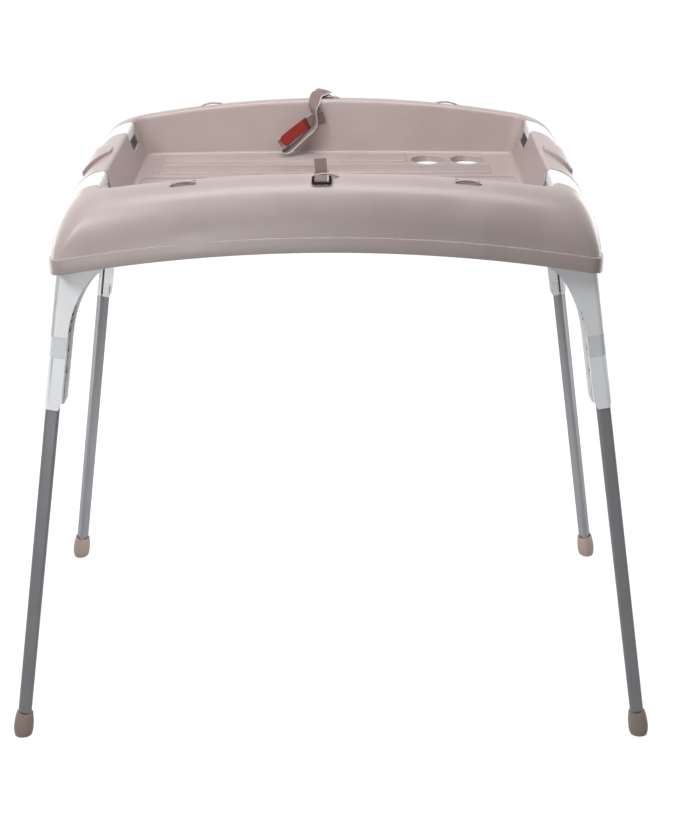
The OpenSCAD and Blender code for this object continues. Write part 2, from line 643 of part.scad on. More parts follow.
// The front slider lies on the rim's slope. Its own frame: d down the slope, h away from it
slider_y = loop_y + slider_out;
slider_tilt = slope_tilt(slider_y);
slider_h = 3;
function front_seat(d, h) = [strap_x,
    -slider_y - d * cos(slider_tilt) - (slider_h + h) * sin(slider_tilt),
    slope_z(slider_y) - d * sin(slider_tilt) + (slider_h + h) * cos(slider_tilt)];
web_over = slider_thick / 2 + web_thick / 2 + 0.25;
bar_end = slider_height / 2;
front_route = concat(
    [on_x(strap_x - 1.5, 11.2 - loop_y, rim_height + 20.5), on_x(strap_x - 0.7, 7.7 - loop_y, rim_height + 11),
     on_x(strap_x, 7.1 - loop_y, rim_height + 2), on_x(strap_x, 6.9 - loop_y, rim_height - 0.4),
     on_x(strap_x, 6.2 - loop_y, under_z + 0.4), on_x(strap_x, 4.8 - loop_y, under_z),
     on_x(strap_x, -loop_y, under_z), on_x(strap_x, 0.5 - arch_edge, under_z),
     on_x(strap_x, -arch_edge - 0.9, under_z + 1.4)],
    [for (p = [[-bar_end - 1.5, -0.8], [-bar_end - 0.6, web_over - 0.5], [-bar_end + 1.3, web_over], [-3.5, web_over],
               [0, web_over], [1.7, web_over - 0.1], [3.2, 1.1], [3.7, 0], [3.2, -1.1], [1.7, -web_over + 0.1],
               [-1, -web_over]])
        [front_seat(p[0], p[1]), [1, 0, 0]]]);
module front_strap() color(web_taupe) web(front_route, 0, len(front_route) - 1, 76, -web_thick / 2, web_thick / 2);

// The rear slider hangs on the webbing behind the rim. Its own frame: d forwards, h upwards
rear_slider_at = [-10, loop_y + 16, rim_height + 7.8];
rear_slider_turn = [-14, 12, 0];
function rear_seat(d, h) = let (a = rear_slider_turn[0], b = rear_slider_turn[1])
    rear_slider_at + d * [-sin(a) * sin(b), -cos(a), -sin(a) * cos(b)]
        + h * [cos(a) * sin(b), -sin(a), cos(a) * cos(b)];
rear_slider_width = [cos(rear_slider_turn[1]), 0, -sin(rear_slider_turn[1])];
// The rear strap over the rim and down into the tray, measured from the loop and the rim's height
rear_hang = [
    [[-13.5, 0.5, 8], [0.93, -0.15, -0.2]], [[-17.3, -3, 7.3], [0.88, -0.25, -0.2]],
    [[-21, -6.7, 5.6], [0.92, -0.1, -0.2]], [[-23, -12, 1.6], [0.93, 0, -0.2]],
    [[-24.2, -18, -4], [0.9, -0.1, -0.15]], [[-24.6, -23.5, -10.7], [0.65, -0.7, -0.1]],
    [[-23.6, -28.5, -18.7], [0.3, -0.95, 0]], [[-21.5, -31, -29], [0.2, -0.95, 0]],
    [[-22.3, -32.5, -38], [0.2, -0.95, -0.1]], [[-27.5, -34, -45.5], [0.15, -0.97, -0.2]],
    [[-38.3, -36, -53.7], [0.1, -0.95, -0.3]], [[-49.6, -38, -63.5], [0.1, -0.93, -0.35]],
    [[-61.7, -41, -74.6], [0.1, -0.93, -0.35]], [[-73, -45, -79.7], [0.1, -0.9, -0.4]],
    [[-82.5, -48.5, -77.4], [0.25, -0.65, -0.7]], [[-86.3, -51, -70.5], [0.4, -0.3, -0.85]],
    [[-80.2, -52.5, -63], [0.5, 0, -0.85]], [[-58.8, -46, -48.4], [0.5, 0.1, -0.85]],
    [[-36, -31, -34.8], [0.5, 0.1, -0.85]], [[-26, -21, -31.3], [0.45, 0, -0.85]],
    [[-17, -18.7, -29], [0.4, 0, -0.9]], [[-8.5, -18.4, -26.5], [0.4, 0, -0.9]]];
rear_route = concat(
    [on_x(-2, loop_y - loop_bridge / 2 + 1, under_z), on_x(-2, loop_y, under_z), on_x(-2, arch_edge - 0.5, under_z),
     on_x(-3.5, arch_edge + 6, under_z + 0.6), on_x(-6.5, arch_edge + 14, under_z + 0.4),
     on_x(-9, arch_edge + 20.5, under_z + 0.6), [[-10.5, arch_edge + 24, under_z + 2.6], rear_slider_width],
     [[-11, arch_edge + 22.7, under_z + 5], rear_slider_width]],
    [for (p = [[-10, -web_over - 0.1], [-7.4, -web_over - 0.1], [-5.6, -web_over], [-4.4, -1.5], [-3.5, 0],
               [-2.7, 1.5], [-1.3, web_over + 0.05], [0, web_over + 0.1], [1.3, web_over + 0.05], [2.7, 1.5],
               [3.5, 0], [4.4, -1.5], [5.6, -web_over], [7.4, -web_over - 0.1], [9.5, -web_over - 0.3],
               [12, -web_over - 0.7]])
        [rear_seat(p[0], p[1]), rear_slider_width]],
    [for (p = rear_hang) [p[0] + [0, loop_y, rim_height], p[1]]]);
web_end = len(rear_route) - 1;
module rear_strap() color(web_taupe) web(rear_route, 0, web_end, 168, -web_thick / 2, web_thick / 2);
module hook_patch() color("#9c1c15")
    web(rear_route, web_end - 5.1, web_end - 3, 20, -web_thick / 2 - patch_thick, -web_thick / 2 - 0.1, true);

module slider_ring() translate([0, 0, -slider_thick / 2]) linear_extrude(slider_thick) difference() {
    soft_rect(-slider_length / 2, slider_length / 2, -slider_height / 2, slider_height / 2, 4);
    for (s = [-1, 1]) translate([0, s * (slider_height / 4 - 0.5)])
        soft_rect(-slider_length / 2 + 3, slider_length / 2 - 3, -slider_height / 8, slider_height / 8, 1);
}
module front_slider() color("#1c1f1e") translate(front_seat(0, 0)) rotate([slider_tilt, 0, 0]) slider_ring();
module rear_slider() color("#8a8d90") translate(rear_slider_at) rotate(rear_slider_turn) slider_ring();

tray();
for (c = CORNERS) {
    in_corner(c) saddle();
    in_corner(c) bracket();
    in_corner(c) inset();
    in_corner(c) button();
    in_corner(c) leg_tube();
    in_corner(c) shoe();
}
bracket_screws();
front_strap();
front_slider();
rear_strap();
rear_slider();
hook_patch();
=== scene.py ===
import math

import bpy
from mathutils import Matrix, Vector


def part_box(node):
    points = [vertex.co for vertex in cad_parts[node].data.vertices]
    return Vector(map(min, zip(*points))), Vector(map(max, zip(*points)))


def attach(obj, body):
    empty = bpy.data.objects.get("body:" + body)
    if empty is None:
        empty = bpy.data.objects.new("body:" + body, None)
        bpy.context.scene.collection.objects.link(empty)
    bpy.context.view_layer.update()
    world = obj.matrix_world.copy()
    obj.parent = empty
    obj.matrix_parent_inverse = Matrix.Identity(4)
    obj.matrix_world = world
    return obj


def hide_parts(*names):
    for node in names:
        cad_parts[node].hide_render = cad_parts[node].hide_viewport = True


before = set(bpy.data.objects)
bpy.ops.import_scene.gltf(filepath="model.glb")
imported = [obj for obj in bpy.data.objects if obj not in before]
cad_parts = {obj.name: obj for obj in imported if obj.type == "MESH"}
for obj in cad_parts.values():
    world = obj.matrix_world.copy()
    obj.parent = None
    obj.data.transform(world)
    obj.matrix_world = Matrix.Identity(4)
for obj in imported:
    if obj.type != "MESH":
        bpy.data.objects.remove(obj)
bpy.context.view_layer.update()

# ---- Camera ----
# The view of a person who stands a good two metres in front of the table,
# a little to the right of its middle, and looks down into the tray.
eye = Vector((0.0313, -2.1745, 1.4876))
looking_down = 0.4486
looking_left = 0.0067
head_tilt = -0.006
focal_length = 61.21
camera = bpy.data.objects.new("camera", bpy.data.cameras.new("camera"))
bpy.context.collection.objects.link(camera)
camera.data.sensor_width = 36
camera.data.lens = focal_length
camera.matrix_world = (Matrix.Translation(eye) @ Matrix.Rotation(looking_left, 4, "Z")
                       @ Matrix.Rotation(math.pi / 2 - looking_down, 4, "X")
                       @ Matrix.Rotation(head_tilt, 4, "Z"))
bpy.context.scene.camera = camera

# ---- Studio light ----
# A small softbox high on the left throws the shadows to the right, a low one fills the legs, strips light
# the ends, and two gridded lamps keep to the inside of the tray and to the rear legs. An even white room
# fills the rest, and a black flag keeps it off the right end of the front.
scene = bpy.context.scene
scene.view_settings.view_transform = "Standard"


def add_node(tree, kind, settings=None, links=None):
    """Adds a shader node, sets its inputs or its own settings, and links other nodes to its inputs."""
    node = tree.nodes.new("ShaderNode" + kind)
    for name, value in (settings or {}).items():
        if name in node.inputs:
            node.inputs[name].default_value = value
        else:
            setattr(node, name, value)
    for name, socket in (links or {}).items():
        tree.links.new(socket, node.inputs[name])
    return node


def softbox(name, place, aim, size, watts, beam=180):
    """A rectangular lamp at a place, aimed at a point. A grid narrows its beam, given in degrees."""
    lamp = bpy.data.lights.new(name, "AREA")
    lamp.shape = "RECTANGLE"
    lamp.size, lamp.size_y = size
    lamp.energy = watts
    lamp.spread = math.radians(beam)
    box = bpy.data.objects.new(name, lamp)
    bpy.context.collection.objects.link(box)
    direction = Vector(aim) - Vector(place)
    box.matrix_world = Matrix.Translation(place) @ direction.to_track_quat("-Z", "Y").to_matrix().to_4x4()


softbox("key_softbox", (-1.5, -1.5, 2.3), (-0.1, 0, 0.8), (0.5, 0.5), 19)
softbox("low_softbox", (-0.5, -2.5, 0.3), (-0.05, -0.2, 0.58), (0.8, 0.8), 12.5)
for end, side in (("left", -1), ("right", 1)):
    softbox(end + "_strip", (side * 1.8, 1.2, 1.05), (side * 0.35, 0, 0.8), (1.6, 0.7), 17)
    softbox(end + "_leg_strip", (side * 1.5, 0.5, 0.35), (side * 0.42, 0.27, 0.35), (0.4, 0.9), 5)
softbox("gridded_softbox", (0, -0.35, 1.75), (0, 0.24, 0.88), (1.4, 0.4), 5.5, beam=115)
softbox("gridded_leg_light", (0, -0.6, 0.3), (0, 0.3, 0.12), (0.3, 0.3), 5.5, beam=70)

bpy.ops.object.select_all(action="DESELECT")
bpy.ops.mesh.primitive_plane_add(size=1.6, location=(0.6, -0.85, 1.45),
                                 rotation=(math.radians(60), 0, math.radians(35)))
black_flag = bpy.context.object
black_flag.name = "black_flag"
black_flag.visible_camera = False
black_cloth = bpy.data.materials.new("black_cloth")
black_cloth.use_nodes = True
black_cloth.node_tree.nodes.clear()
cloth = add_node(black_cloth.node_tree, "BsdfPrincipled",
                 {"Base Color": (0.01, 0.01, 0.01, 1), "Roughness": 1.0})
add_node(black_cloth.node_tree, "OutputMaterial", None, {"Surface": cloth.outputs[0]})
black_flag.data.materials.append(black_cloth)


def seen_directly(tree):
    """One for camera, glossy and transmission rays, which see the white background itself."""
    ray = add_node(tree, "LightPath")
    mirror = add_node(tree, "Math", {"operation": "MAXIMUM"})
    tree.links.new(ray.outputs["Is Glossy Ray"], mirror.inputs[0])
    tree.links.new(ray.outputs["Is Transmission Ray"], mirror.inputs[1])
    seen = add_node(tree, "Math", {"operation": "MAXIMUM"})
    tree.links.new(ray.outputs["Is Camera Ray"], seen.inputs[0])
    tree.links.new(mirror.outputs[0], seen.inputs[1])
    return seen.outputs[0]


room = bpy.data.worlds.new("white_room")
scene.world = room
room.use_nodes = True
room.node_tree.nodes.clear()
level = add_node(room.node_tree, "MapRange", {"To Min": 0.5, "To Max": 1.0},
                 {"Value": seen_directly(room.node_tree)})
air = add_node(room.node_tree, "Background", {"Color": (1, 1, 1, 1)}, {"Strength": level.outputs[0]})
add_node(room.node_tree, "OutputWorld", None, {"Surface": air.outputs[0]})

# ---- Floor ----
# Seamless paper that shows almost pure white, sends little light back up, and keeps a faint
# shadow round each shoe.
bpy.ops.object.select_all(action="DESELECT")
bpy.ops.mesh.primitive_plane_add(size=40, location=(0, 0, -0.0004))
paper_floor = bpy.context.object
paper_floor.name = "paper_floor"
paper = bpy.data.materials.new("seamless_paper")
paper.use_nodes = True
paper.node_tree.nodes.clear()
glow = add_node(paper.node_tree, "MapRange", {"To Min": 0.0, "To Max": 0.92},
                {"Value": seen_directly(paper.node_tree)})
sheet_white = add_node(paper.node_tree, "BsdfPrincipled",
                       {"Base Color": (0.18, 0.18, 0.18, 1), "Roughness": 1.0, "Specular IOR Level": 0.0,
                        "Emission Color": (1, 1, 1, 1)}, {"Emission Strength": glow.outputs[0]})
add_node(paper.node_tree, "OutputMaterial", None, {"Surface": sheet_white.outputs[0]})
paper_floor.data.materials.append(paper)

# ---- Tray shell ----
# One injection-moulded polypropylene tray: a flat deck, steep walls, rims that arch along the length,
# a rounded outer slope, and a stepped skirt band round the bottom. The wall is about 3 mm thick.
band_x, band_y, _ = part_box("tray")[1]
band_step = 0.0035
end_slope, side_slope, slope_power = 0.0565, 0.054, 2.3
rim_round, rim_fall = 0.006, 0.009
end_draft, side_draft = 0.015, 0.0025
side_bow = 0.014
deck_fillet = 0.006
skin = 0.0034
deck_z = 0.840
band_corner, rim_corner, corner_swell, well_corner = 0.022, 0.028, 0.024, 0.019
seam_x, seam_y = band_x - band_step, band_y - band_step
rim_x, rim_y = seam_x - end_slope, seam_y - side_slope
well_x, well_y = rim_x - rim_round, rim_y - rim_round
deck_x, deck_y, deck_corner = well_x - end_draft, well_y - side_draft, well_corner - 0.003
rim_curve = (0.931, 0.027 / rim_x ** 2)
seam_curve = (0.856, 0.034 / seam_x ** 2)
hem_curve = (0.8335, 0.035 / band_x ** 2)


def lower(curve, drop):
    return (curve[0] - drop, curve[1])


def between(a, b, share):
    return a + (b - a) * share


def height(curve, x):
    return curve[0] - curve[1] * x * x


def side_share(t):
    return math.sin(t) ** (2 / slope_power)


def top_share(t):
    return max(0.0, math.cos(t)) ** (2 / slope_power)


# A ring round the tray: its half length, half depth, corner radius, height curve and share of the
# long walls' bow. The inner skin's rings lie a wall's thickness inwards.
def slope_ring(t, inwards=0.0):
    out, up = side_share(t), top_share(t)
    curve = tuple(between(a, b, up) for a, b in zip(seam_curve, rim_curve))
    corner = (between(rim_corner, band_corner - band_step, out) + corner_swell * math.sin(2 * t)
              - inwards * out)
    return (rim_x + (end_slope - inwards) * out, rim_y + (side_slope - inwards) * out, corner,
            lower(curve, inwards), up)


def rim_ring(a, inwards=0.0):
    out = rim_round * (1 - math.cos(a)) + inwards * math.cos(a)
    corner = between(well_corner, rim_corner, 1 - math.cos(a)) + inwards * math.cos(a)
    drop = rim_fall * (1 - math.sin(a)) + inwards * math.sin(a)
    return (well_x + out, well_y + out, corner, lower(rim_curve, drop), 1)


def fillet_ring(a, inwards=0.0):
    out = (deck_fillet + inwards) * math.sin(a) - deck_fillet
    up = deck_fillet - (deck_fillet + inwards) * math.cos(a)
    return (deck_x + out, deck_y + out, deck_corner + out, (deck_z + up, 0), 1)


def band_ring(inset, curve):
    return (band_x - inset, band_y - inset, band_corner - inset, curve, 0)


def bow_at(x):
    return side_bow * (x / rim_x) ** 2


def ring_points(ring, corner_steps=14, long_steps=44, short_steps=10):
    """The points of a ring, half of them worked out and the rest turned round the middle."""
    half_x, half_y, corner, curve, bow = ring
    x, y = half_x - corner, half_y - corner
    flat = [(half_x, between(-y, y, i / short_steps)) for i in range(short_steps)]
    for i in range(corner_steps):
        turn = math.pi / 2 * i / corner_steps
        flat.append((x + corner * math.cos(turn), y + corner * math.sin(turn)))
    flat += [(between(x, -x, i / long_steps), half_y) for i in range(long_steps)]
    for i in range(corner_steps):
        turn = math.pi / 2 * (1 + i / corner_steps)
        flat.append((-x + corner * math.cos(turn), y + corner * math.sin(turn)))
    flat += [(-px, -py) for px, py in flat]
    points = []
    for px, py in flat:
        side = max(-1, min(1, py / y))
        points.append(Vector((px, py - bow * bow_at(px) * side, height(curve, px))))
    return points


def steps(first, last, count):
    return [between(first, last, i / count) for i in range(count + 1)]


def wrap(name, rings, joined=False, spread=None):
    """A grid rolled round into a tube of equal rings, closed at its ends or joined end to end.
    The spread gives the flat cloth's places across and along, in metres, for a woven finish."""
    rows = rings + rings[:1] if joined else rings
    bpy.ops.object.select_all(action="DESELECT")
    bpy.ops.mesh.primitive_grid_add(x_subdivisions=len(rings[0]), y_subdivisions=len(rows) - 1)
    piece = bpy.context.object
    piece.name = name
    points = [point for row in rows for point in list(row) + [row[0]]]
    for vertex, point in zip(piece.data.vertices, points, strict=True):
        vertex.co = point
    piece.location = (0, 0, 0)
    if spread:
        across, along = spread
        for loop, flat in zip(piece.data.loops, piece.data.uv_layers.active.data, strict=True):
            row, column = divmod(loop.vertex_index, len(across))
            flat.uv = (across[column], along[row])
    bpy.ops.object.mode_set(mode="EDIT")
    bpy.ops.mesh.select_all(action="SELECT")
    bpy.ops.mesh.remove_doubles(threshold=1e-7)
    if not joined:
        bpy.ops.mesh.fill_holes(sides=0)
    bpy.ops.mesh.select_all(action="SELECT")
    bpy.ops.mesh.normals_make_consistent(inside=False)
    bpy.ops.object.mode_set(mode="OBJECT")
    return piece


def prism(name, outline, along):
    """A flat face with the given outline, extruded along a vector."""
    bpy.ops.object.select_all(action="DESELECT")
    bpy.ops.mesh.primitive_circle_add(vertices=len(outline), fill_type="NGON")
    piece = bpy.context.object
    piece.name = name
    for vertex, point in zip(piece.data.vertices, outline, strict=True):
        vertex.co = point
    piece.location = (0, 0, 0)
    bpy.ops.object.mode_set(mode="EDIT")
    bpy.ops.mesh.select_all(action="SELECT")
    bpy.ops.mesh.extrude_region_move(TRANSFORM_OT_translate={"value": along})
    bpy.ops.mesh.select_all(action="SELECT")
    bpy.ops.mesh.normals_make_consistent(inside=False)
    bpy.ops.object.mode_set(mode="OBJECT")
    return piece


def pick(piece):
    """Selects one piece alone and makes it the active one."""
    bpy.ops.object.select_all(action="DESELECT")
    bpy.context.view_layer.objects.active = piece
    piece.select_set(True)


def apply_modifier(piece, kind, **settings):
    pick(piece)
    modifier = piece.modifiers.new(kind.lower(), kind)
    for name, value in settings.items():
        setattr(modifier, name, value)
    bpy.ops.object.modifier_apply(modifier=modifier.name)


def smooth(piece, degrees=35):
    pick(piece)
    bpy.ops.object.shade_smooth_by_angle(angle=math.radians(degrees))


def soften(piece, width, segments=3, degrees=40):
    apply_modifier(piece, "BEVEL", width=width, segments=segments, limit_method="ANGLE",
                   angle_limit=math.radians(degrees))
    smooth(piece)


def combine(name, pieces, operation="JOIN"):
    """Joins pieces into one mesh, or cuts the first by all the later ones."""
    first = pieces[0]
    first.name = name
    if operation == "JOIN":
        bpy.ops.object.select_all(action="DESELECT")
        for piece in pieces:
            piece.select_set(True)
        bpy.context.view_layer.objects.active = first
        bpy.ops.object.join()
        return first
    tools = bpy.data.collections.new(name + "_tools")
    bpy.context.scene.collection.children.link(tools)
    for piece in pieces[1:]:
        tools.objects.link(piece)
    apply_modifier(first, "BOOLEAN", operation=operation, operand_type="COLLECTION", collection=tools,
                   solver="EXACT")
    for piece in pieces[1:]:
        bpy.data.objects.remove(piece)
    bpy.data.collections.remove(tools)
    return first


quarter = math.pi / 2
shell_rings = [fillet_ring(a) for a in steps(0, quarter, 6)]
shell_rings += [rim_ring(a) for a in steps(0, quarter, 8)]
shell_rings += [slope_ring(t) for t in steps(0, quarter, 22)[1:]]
ledge_round, ledge_drop, hem_round = 0.0009, 0.0002, 0.0008
for turn in steps(0, quarter, 4):
    inset = ledge_round * (1 - math.sin(turn))
    shell_rings.append(band_ring(inset, lower(seam_curve, ledge_drop + ledge_round * (1 - math.cos(turn)))))
for turn in steps(0, quarter, 4):
    inset = hem_round * (1 - math.cos(turn))
    shell_rings.append(band_ring(inset, lower(hem_curve, -hem_round * (1 - math.sin(turn)))))
shell_rings.append(band_ring(skin, hem_curve))
shell_rings.append(band_ring(skin, lower(seam_curve, skin + 0.001)))
shell_rings += [slope_ring(t, skin) for t in steps(quarter * 0.96, 0, 12)]
shell_rings += [rim_ring(a, skin) for a in steps(quarter, 0, 4)[1:]]
shell_rings += [fillet_ring(a, skin) for a in steps(quarter, 0, 4)]
tray_shell = wrap("tray_shell", [ring_points(ring) for ring in shell_rings])

# The saddles lie in shallow channels over the end walls, and their tabs hook into slots in the inner
# walls, which lean in a little from the rim down to the tabs.
saddle_y, saddle_width, saddle_sink, saddle_thick = 0.148, 0.072, 0.0006, 0.0015
tab_fall, slot_height, slot_width = 0.017, 0.018, 0.064
rim_end_z = height(rim_curve, rim_x)
tab_x, tab_z = well_x - 0.0009, rim_end_z - tab_fall
end_profile = [((tab_x, tab_z), (-1, 0))]
for a in steps(0, quarter, 10):
    ring = rim_ring(a)
    end_profile.append(((ring[0], height(ring[3], ring[0])), (-math.cos(a), math.sin(a))))
for t in steps(0, quarter * 7 / 8, 18)[1:]:
    ring = slope_ring(t)
    end_profile.append(((ring[0], height(ring[3], ring[0])), (math.sin(t), math.cos(t))))


def end_strip(name, side, y0, y1, above, below):
    """A strip that follows the end wall's profile, from above it to below it, between two depths."""
    top = [(p[0] + d[0] * above, p[1] + d[1] * above) for p, d in end_profile]
    bottom = [(p[0] - d[0] * below, p[1] - d[1] * below) for p, d in end_profile]
    outline = [Vector((side * x, y0, z)) for x, z in top + bottom[::-1]]
    return prism(name, outline, (0, y1 - y0, 0))


cutters = []
channel_gap, channel_floor, cut_above = 0.0007, 0.0003, 0.003
slot_x0, slot_x1 = deck_x - 0.005, well_x + skin + 0.003
for side in (-1, 1):
    for middle in (-saddle_y, saddle_y):
        half = saddle_width / 2
        cutters.append(end_strip("channel", side, middle - half - channel_gap, middle + half + channel_gap,
                                 cut_above, saddle_sink + saddle_thick + channel_floor))
        bpy.ops.object.select_all(action="DESELECT")
        bpy.ops.mesh.primitive_cube_add(size=1)
        slot = bpy.context.object
        for vertex in slot.data.vertices:
            vertex.co = (side * between(slot_x0, slot_x1, vertex.co.x + 0.5),
                         middle + vertex.co.y * slot_width,
                         between(tab_z - slot_height, tab_z, vertex.co.z + 0.5))
        if side < 0:
            bpy.ops.object.mode_set(mode="EDIT")
            bpy.ops.mesh.select_all(action="SELECT")
            bpy.ops.mesh.flip_normals()
            bpy.ops.object.mode_set(mode="OBJECT")
        cutters.append(slot)

# Six strap loops stand on the long rims: a notch runs out across the slope under a low arch.
loop_pitch, loop_gap, loop_notch, loop_rise = 0.200, 0.035, 0.0024, 0.004
loop_thick, loop_bridge, loop_out = 0.0022, 0.012, 0.0085
loop_y = rim_y + loop_out


def loop_place(step, side):
    """The frame of one loop: its middle on the slope, leaning with the rim's arch."""
    x = step * loop_pitch
    t = math.asin(((loop_out + bow_at(x)) / side_slope) ** (slope_power / 2))
    z = between(height(seam_curve, x), height(rim_curve, x), top_share(t))
    lean = Matrix.Rotation(math.atan(2 * rim_curve[1] * x), 4, "Y")
    return Matrix.Translation((x, side * loop_y, z)) @ lean @ Matrix.Diagonal((1, side, 1, 1))


loop_spots = [(step, side) for side in (-1, 1) for step in (-1, 0, 1)]
notch_y0, notch_y1, notch_top = -loop_bridge / 2 - 0.002, loop_bridge / 2 + 0.014, 0.012
for step, side in loop_spots:
    place = loop_place(step, side)
    outline = [place @ Vector((x, notch_y0, z)) for x, z in
               ((-loop_gap / 2, -loop_notch), (loop_gap / 2, -loop_notch),
                (loop_gap / 2, notch_top), (-loop_gap / 2, notch_top))]
    cutters.append(prism("notch", outline, place.to_3x3() @ Vector((0, notch_y1 - notch_y0, 0))))


def soft_rectangle(x0, x1, y0, y1, radius, z):
    """The outline of a level rectangle with round corners."""
    points = []
    for cx, cy, start in ((x1 - radius, y1 - radius, 0), (x0 + radius, y1 - radius, 1),
                          (x0 + radius, y0 + radius, 2), (x1 - radius, y0 + radius, 3)):
        for turn in steps(start * quarter, (start + 1) * quarter, 6):
            points.append(Vector((cx + radius * math.cos(turn), cy + radius * math.sin(turn), z)))
    return points


# The front half of the deck is a shallow recess, and two bottle holes stand in its rear right corner.
recess_depth, recess_corner, recess_rear, recess_front = 0.0015, 0.012, 0.071, 0.190
recess_x = deck_x - deck_fillet - 0.003
cutters.append(prism("recess", soft_rectangle(-recess_x, recess_x, -recess_front, recess_rear, recess_corner,
                                              deck_z - recess_depth), (0, 0, 0.005)))
bottle_spots, bottle_y, bottle_r = (0.165, 0.2315), 0.1715, 0.0265
bottle_sides, lip_seat = 72, 0.0012
for x in bottle_spots:
    bpy.ops.object.select_all(action="DESELECT")
    bpy.ops.mesh.primitive_cylinder_add(vertices=bottle_sides, radius=bottle_r + lip_seat, depth=0.03)
    hole = bpy.context.object
    hole.data.transform(Matrix.Translation((x, bottle_y, deck_z)))
    cutters.append(hole)
combine("tray_shell", [tray_shell] + cutters, "DIFFERENCE")
smooth(tray_shell, 30)


def linear(hex_colour):
    """The linear values that a renderer needs for an sRGB colour written as hex."""
    values = [int(hex_colour[i:i + 2], 16) / 255 for i in (1, 3, 5)]
    return tuple(v / 12.92 if v <= 0.04045 else ((v + 0.055) / 1.055) ** 2.4 for v in values) + (1.0,)


def new_material(name):
    material = bpy.data.materials.new(name)
    material.use_nodes = True
    material.node_tree.nodes.clear()
    return material, material.node_tree


def moulded_plastic(name, light, dark, roughness, grain=0.0011, edge=0.0006, recess=None, shine=0.5):
    """Injection-moulded thermoplastic: the polished mould leaves a soft gloss with a fine orange peel,
    and flow makes the gloss and the tone wander a little over some centimetres. Where a recess colour
    is given, shade is painted into narrow channels and gaps, darker the more closed in a point is.
    A duller plastic has less shine."""
    material, tree = new_material(name)
    place = add_node(tree, "TexCoord").outputs["Object"]
    peel = add_node(tree, "TexNoise", {"Scale": 1 / grain, "Detail": 3.0}, {"Vector": place})
    flow = add_node(tree, "TexNoise", {"Scale": 1 / 0.07, "Detail": 2.0}, {"Vector": place})
    tone = add_node(tree, "ValToRGB", None, {"Fac": flow.outputs[0]})
    tone.color_ramp.elements[0].position, tone.color_ramp.elements[0].color = 0.35, linear(dark)
    tone.color_ramp.elements[1].position, tone.color_ramp.elements[1].color = 0.65, linear(light)
    gloss = add_node(tree, "MapRange", {"From Min": 0.3, "From Max": 0.7, "To Min": roughness - 0.05,
                                        "To Max": roughness + 0.05}, {"Value": flow.outputs[0]})
    rounded = add_node(tree, "Bevel", {"samples": 4, "Radius": edge})
    bump = add_node(tree, "Bump", {"Strength": 0.08, "Distance": 0.0002},
                    {"Height": peel.outputs[0], "Normal": rounded.outputs[0]})
    colour = tone.outputs[0]
    # Painted shade: the recess colour darkens the surface where ambient occlusion finds it closed in.
    if recess:
        crevice = add_node(tree, "AmbientOcclusion", {"samples": 12, "Distance": 0.014})
        unshaded_share = add_node(tree, "MapRange", {"From Min": 0.32, "From Max": 0.62},
                         {"Value": crevice.outputs["AO"]})
        painted_shade = add_node(tree, "Mix", {"data_type": "RGBA"}, {"Factor": unshaded_share.outputs[0]})
        painted_shade.inputs[6].default_value = linear(recess)
        tree.links.new(colour, painted_shade.inputs[7])
        colour = painted_shade.outputs[2]
    plastic = add_node(tree, "BsdfPrincipled", {"IOR": 1.49, "Specular IOR Level": shine},
                       {"Base Color": colour, "Roughness": gloss.outputs[0], "Normal": bump.outputs[0]})
    add_node(tree, "OutputMaterial", None, {"Surface": plastic.outputs[0]})
    return material


def dress(piece, material, body, slot, *nodes):
    """Gives a piece its finish, the body it rides on and the solids it stands for. The slot is not used."""
    piece.data.materials.clear()
    piece.data.materials.append(material)
    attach(piece, body)
    if nodes:
        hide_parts(*nodes)


taupe_polypropylene = moulded_plastic("taupe_polypropylene", "#ac9e9b", "#a79996", 0.33)
dress(tray_shell, taupe_polypropylene, "table", "taupe_plastic", "tray")

# ---- Deck panels ----
# Two low raised fields moulded in one with the deck: a long one across the middle,
# and a strip at the back whose rear edge runs into the foot of the bowed wall.
panel_rise, panel_left, panel_right, panel_front, panel_depth = 0.002, 0.280, 0.266, 0.090, 0.044
strip_right, strip_front, strip_corner, wall_overlap = 0.130, 0.161, 0.003, 0.003
panel_sink = 0.001
panel_z = deck_z - panel_sink
long_panel = prism("long_panel", soft_rectangle(-panel_left, panel_right, panel_front,
                                                panel_front + panel_depth, 0.004, panel_z),
                   (0, 0, panel_rise + panel_sink))
strip_outline = [Vector((x, y, panel_z)) for x, y in
                 ((-panel_left, strip_front + strip_corner), (-panel_left + strip_corner, strip_front),
                  (strip_right - strip_corner, strip_front), (strip_right, strip_front + strip_corner))]
for x in steps(strip_right, -panel_left, 24):
    strip_outline.append(Vector((x, deck_y - deck_fillet + wall_overlap - bow_at(x), panel_z)))
rear_strip = prism("rear_strip", strip_outline, (0, 0, panel_rise + panel_sink))
deck_panels = combine("deck_panels", [long_panel, rear_strip])
soften(deck_panels, 0.0018, 4)
polished_polypropylene = moulded_plastic("polished_taupe_polypropylene", "#ac9e9b", "#a79996", 0.17)
dress(deck_panels, polished_polypropylene, "table", "taupe_plastic")

# ---- Bottle holes ----
# Two holes through the deck that hold a bottle each by its collar. Each has a rolled lip round its
# mouth and a short sleeve below, moulded in one with the deck.
sleeve_wall, sleeve_depth = 0.0024, 0.010
roll_wide, roll_high, roll_drop, roll_foot = 0.0022, 0.0020, 0.0008, 0.0014
lip_profile = [(bottle_r + sleeve_wall, -sleeve_depth), (bottle_r, -sleeve_depth), (bottle_r, -roll_drop)]
lip_profile += [(bottle_r + roll_wide - roll_wide * math.cos(a), roll_high * math.sin(a) - roll_drop)
                for a in steps(0, math.pi, 12)[1:]]
lip_profile.append((bottle_r + sleeve_wall, -roll_foot))
bottle_lips = []
for x in bottle_spots:
    rings = []
    for radius, z in lip_profile:
        rings.append([Vector((x + radius * math.cos(turn), bottle_y + radius * math.sin(turn), deck_z + z))
                      for turn in steps(0, 2 * math.pi, bottle_sides)[:-1]])
    bottle_lips.append(wrap("bottle_lip", rings, joined=True))
bottle_lips = combine("bottle_lips", bottle_lips)
smooth(bottle_lips, 50)
dress(bottle_lips, taupe_polypropylene, "table", "taupe_plastic")

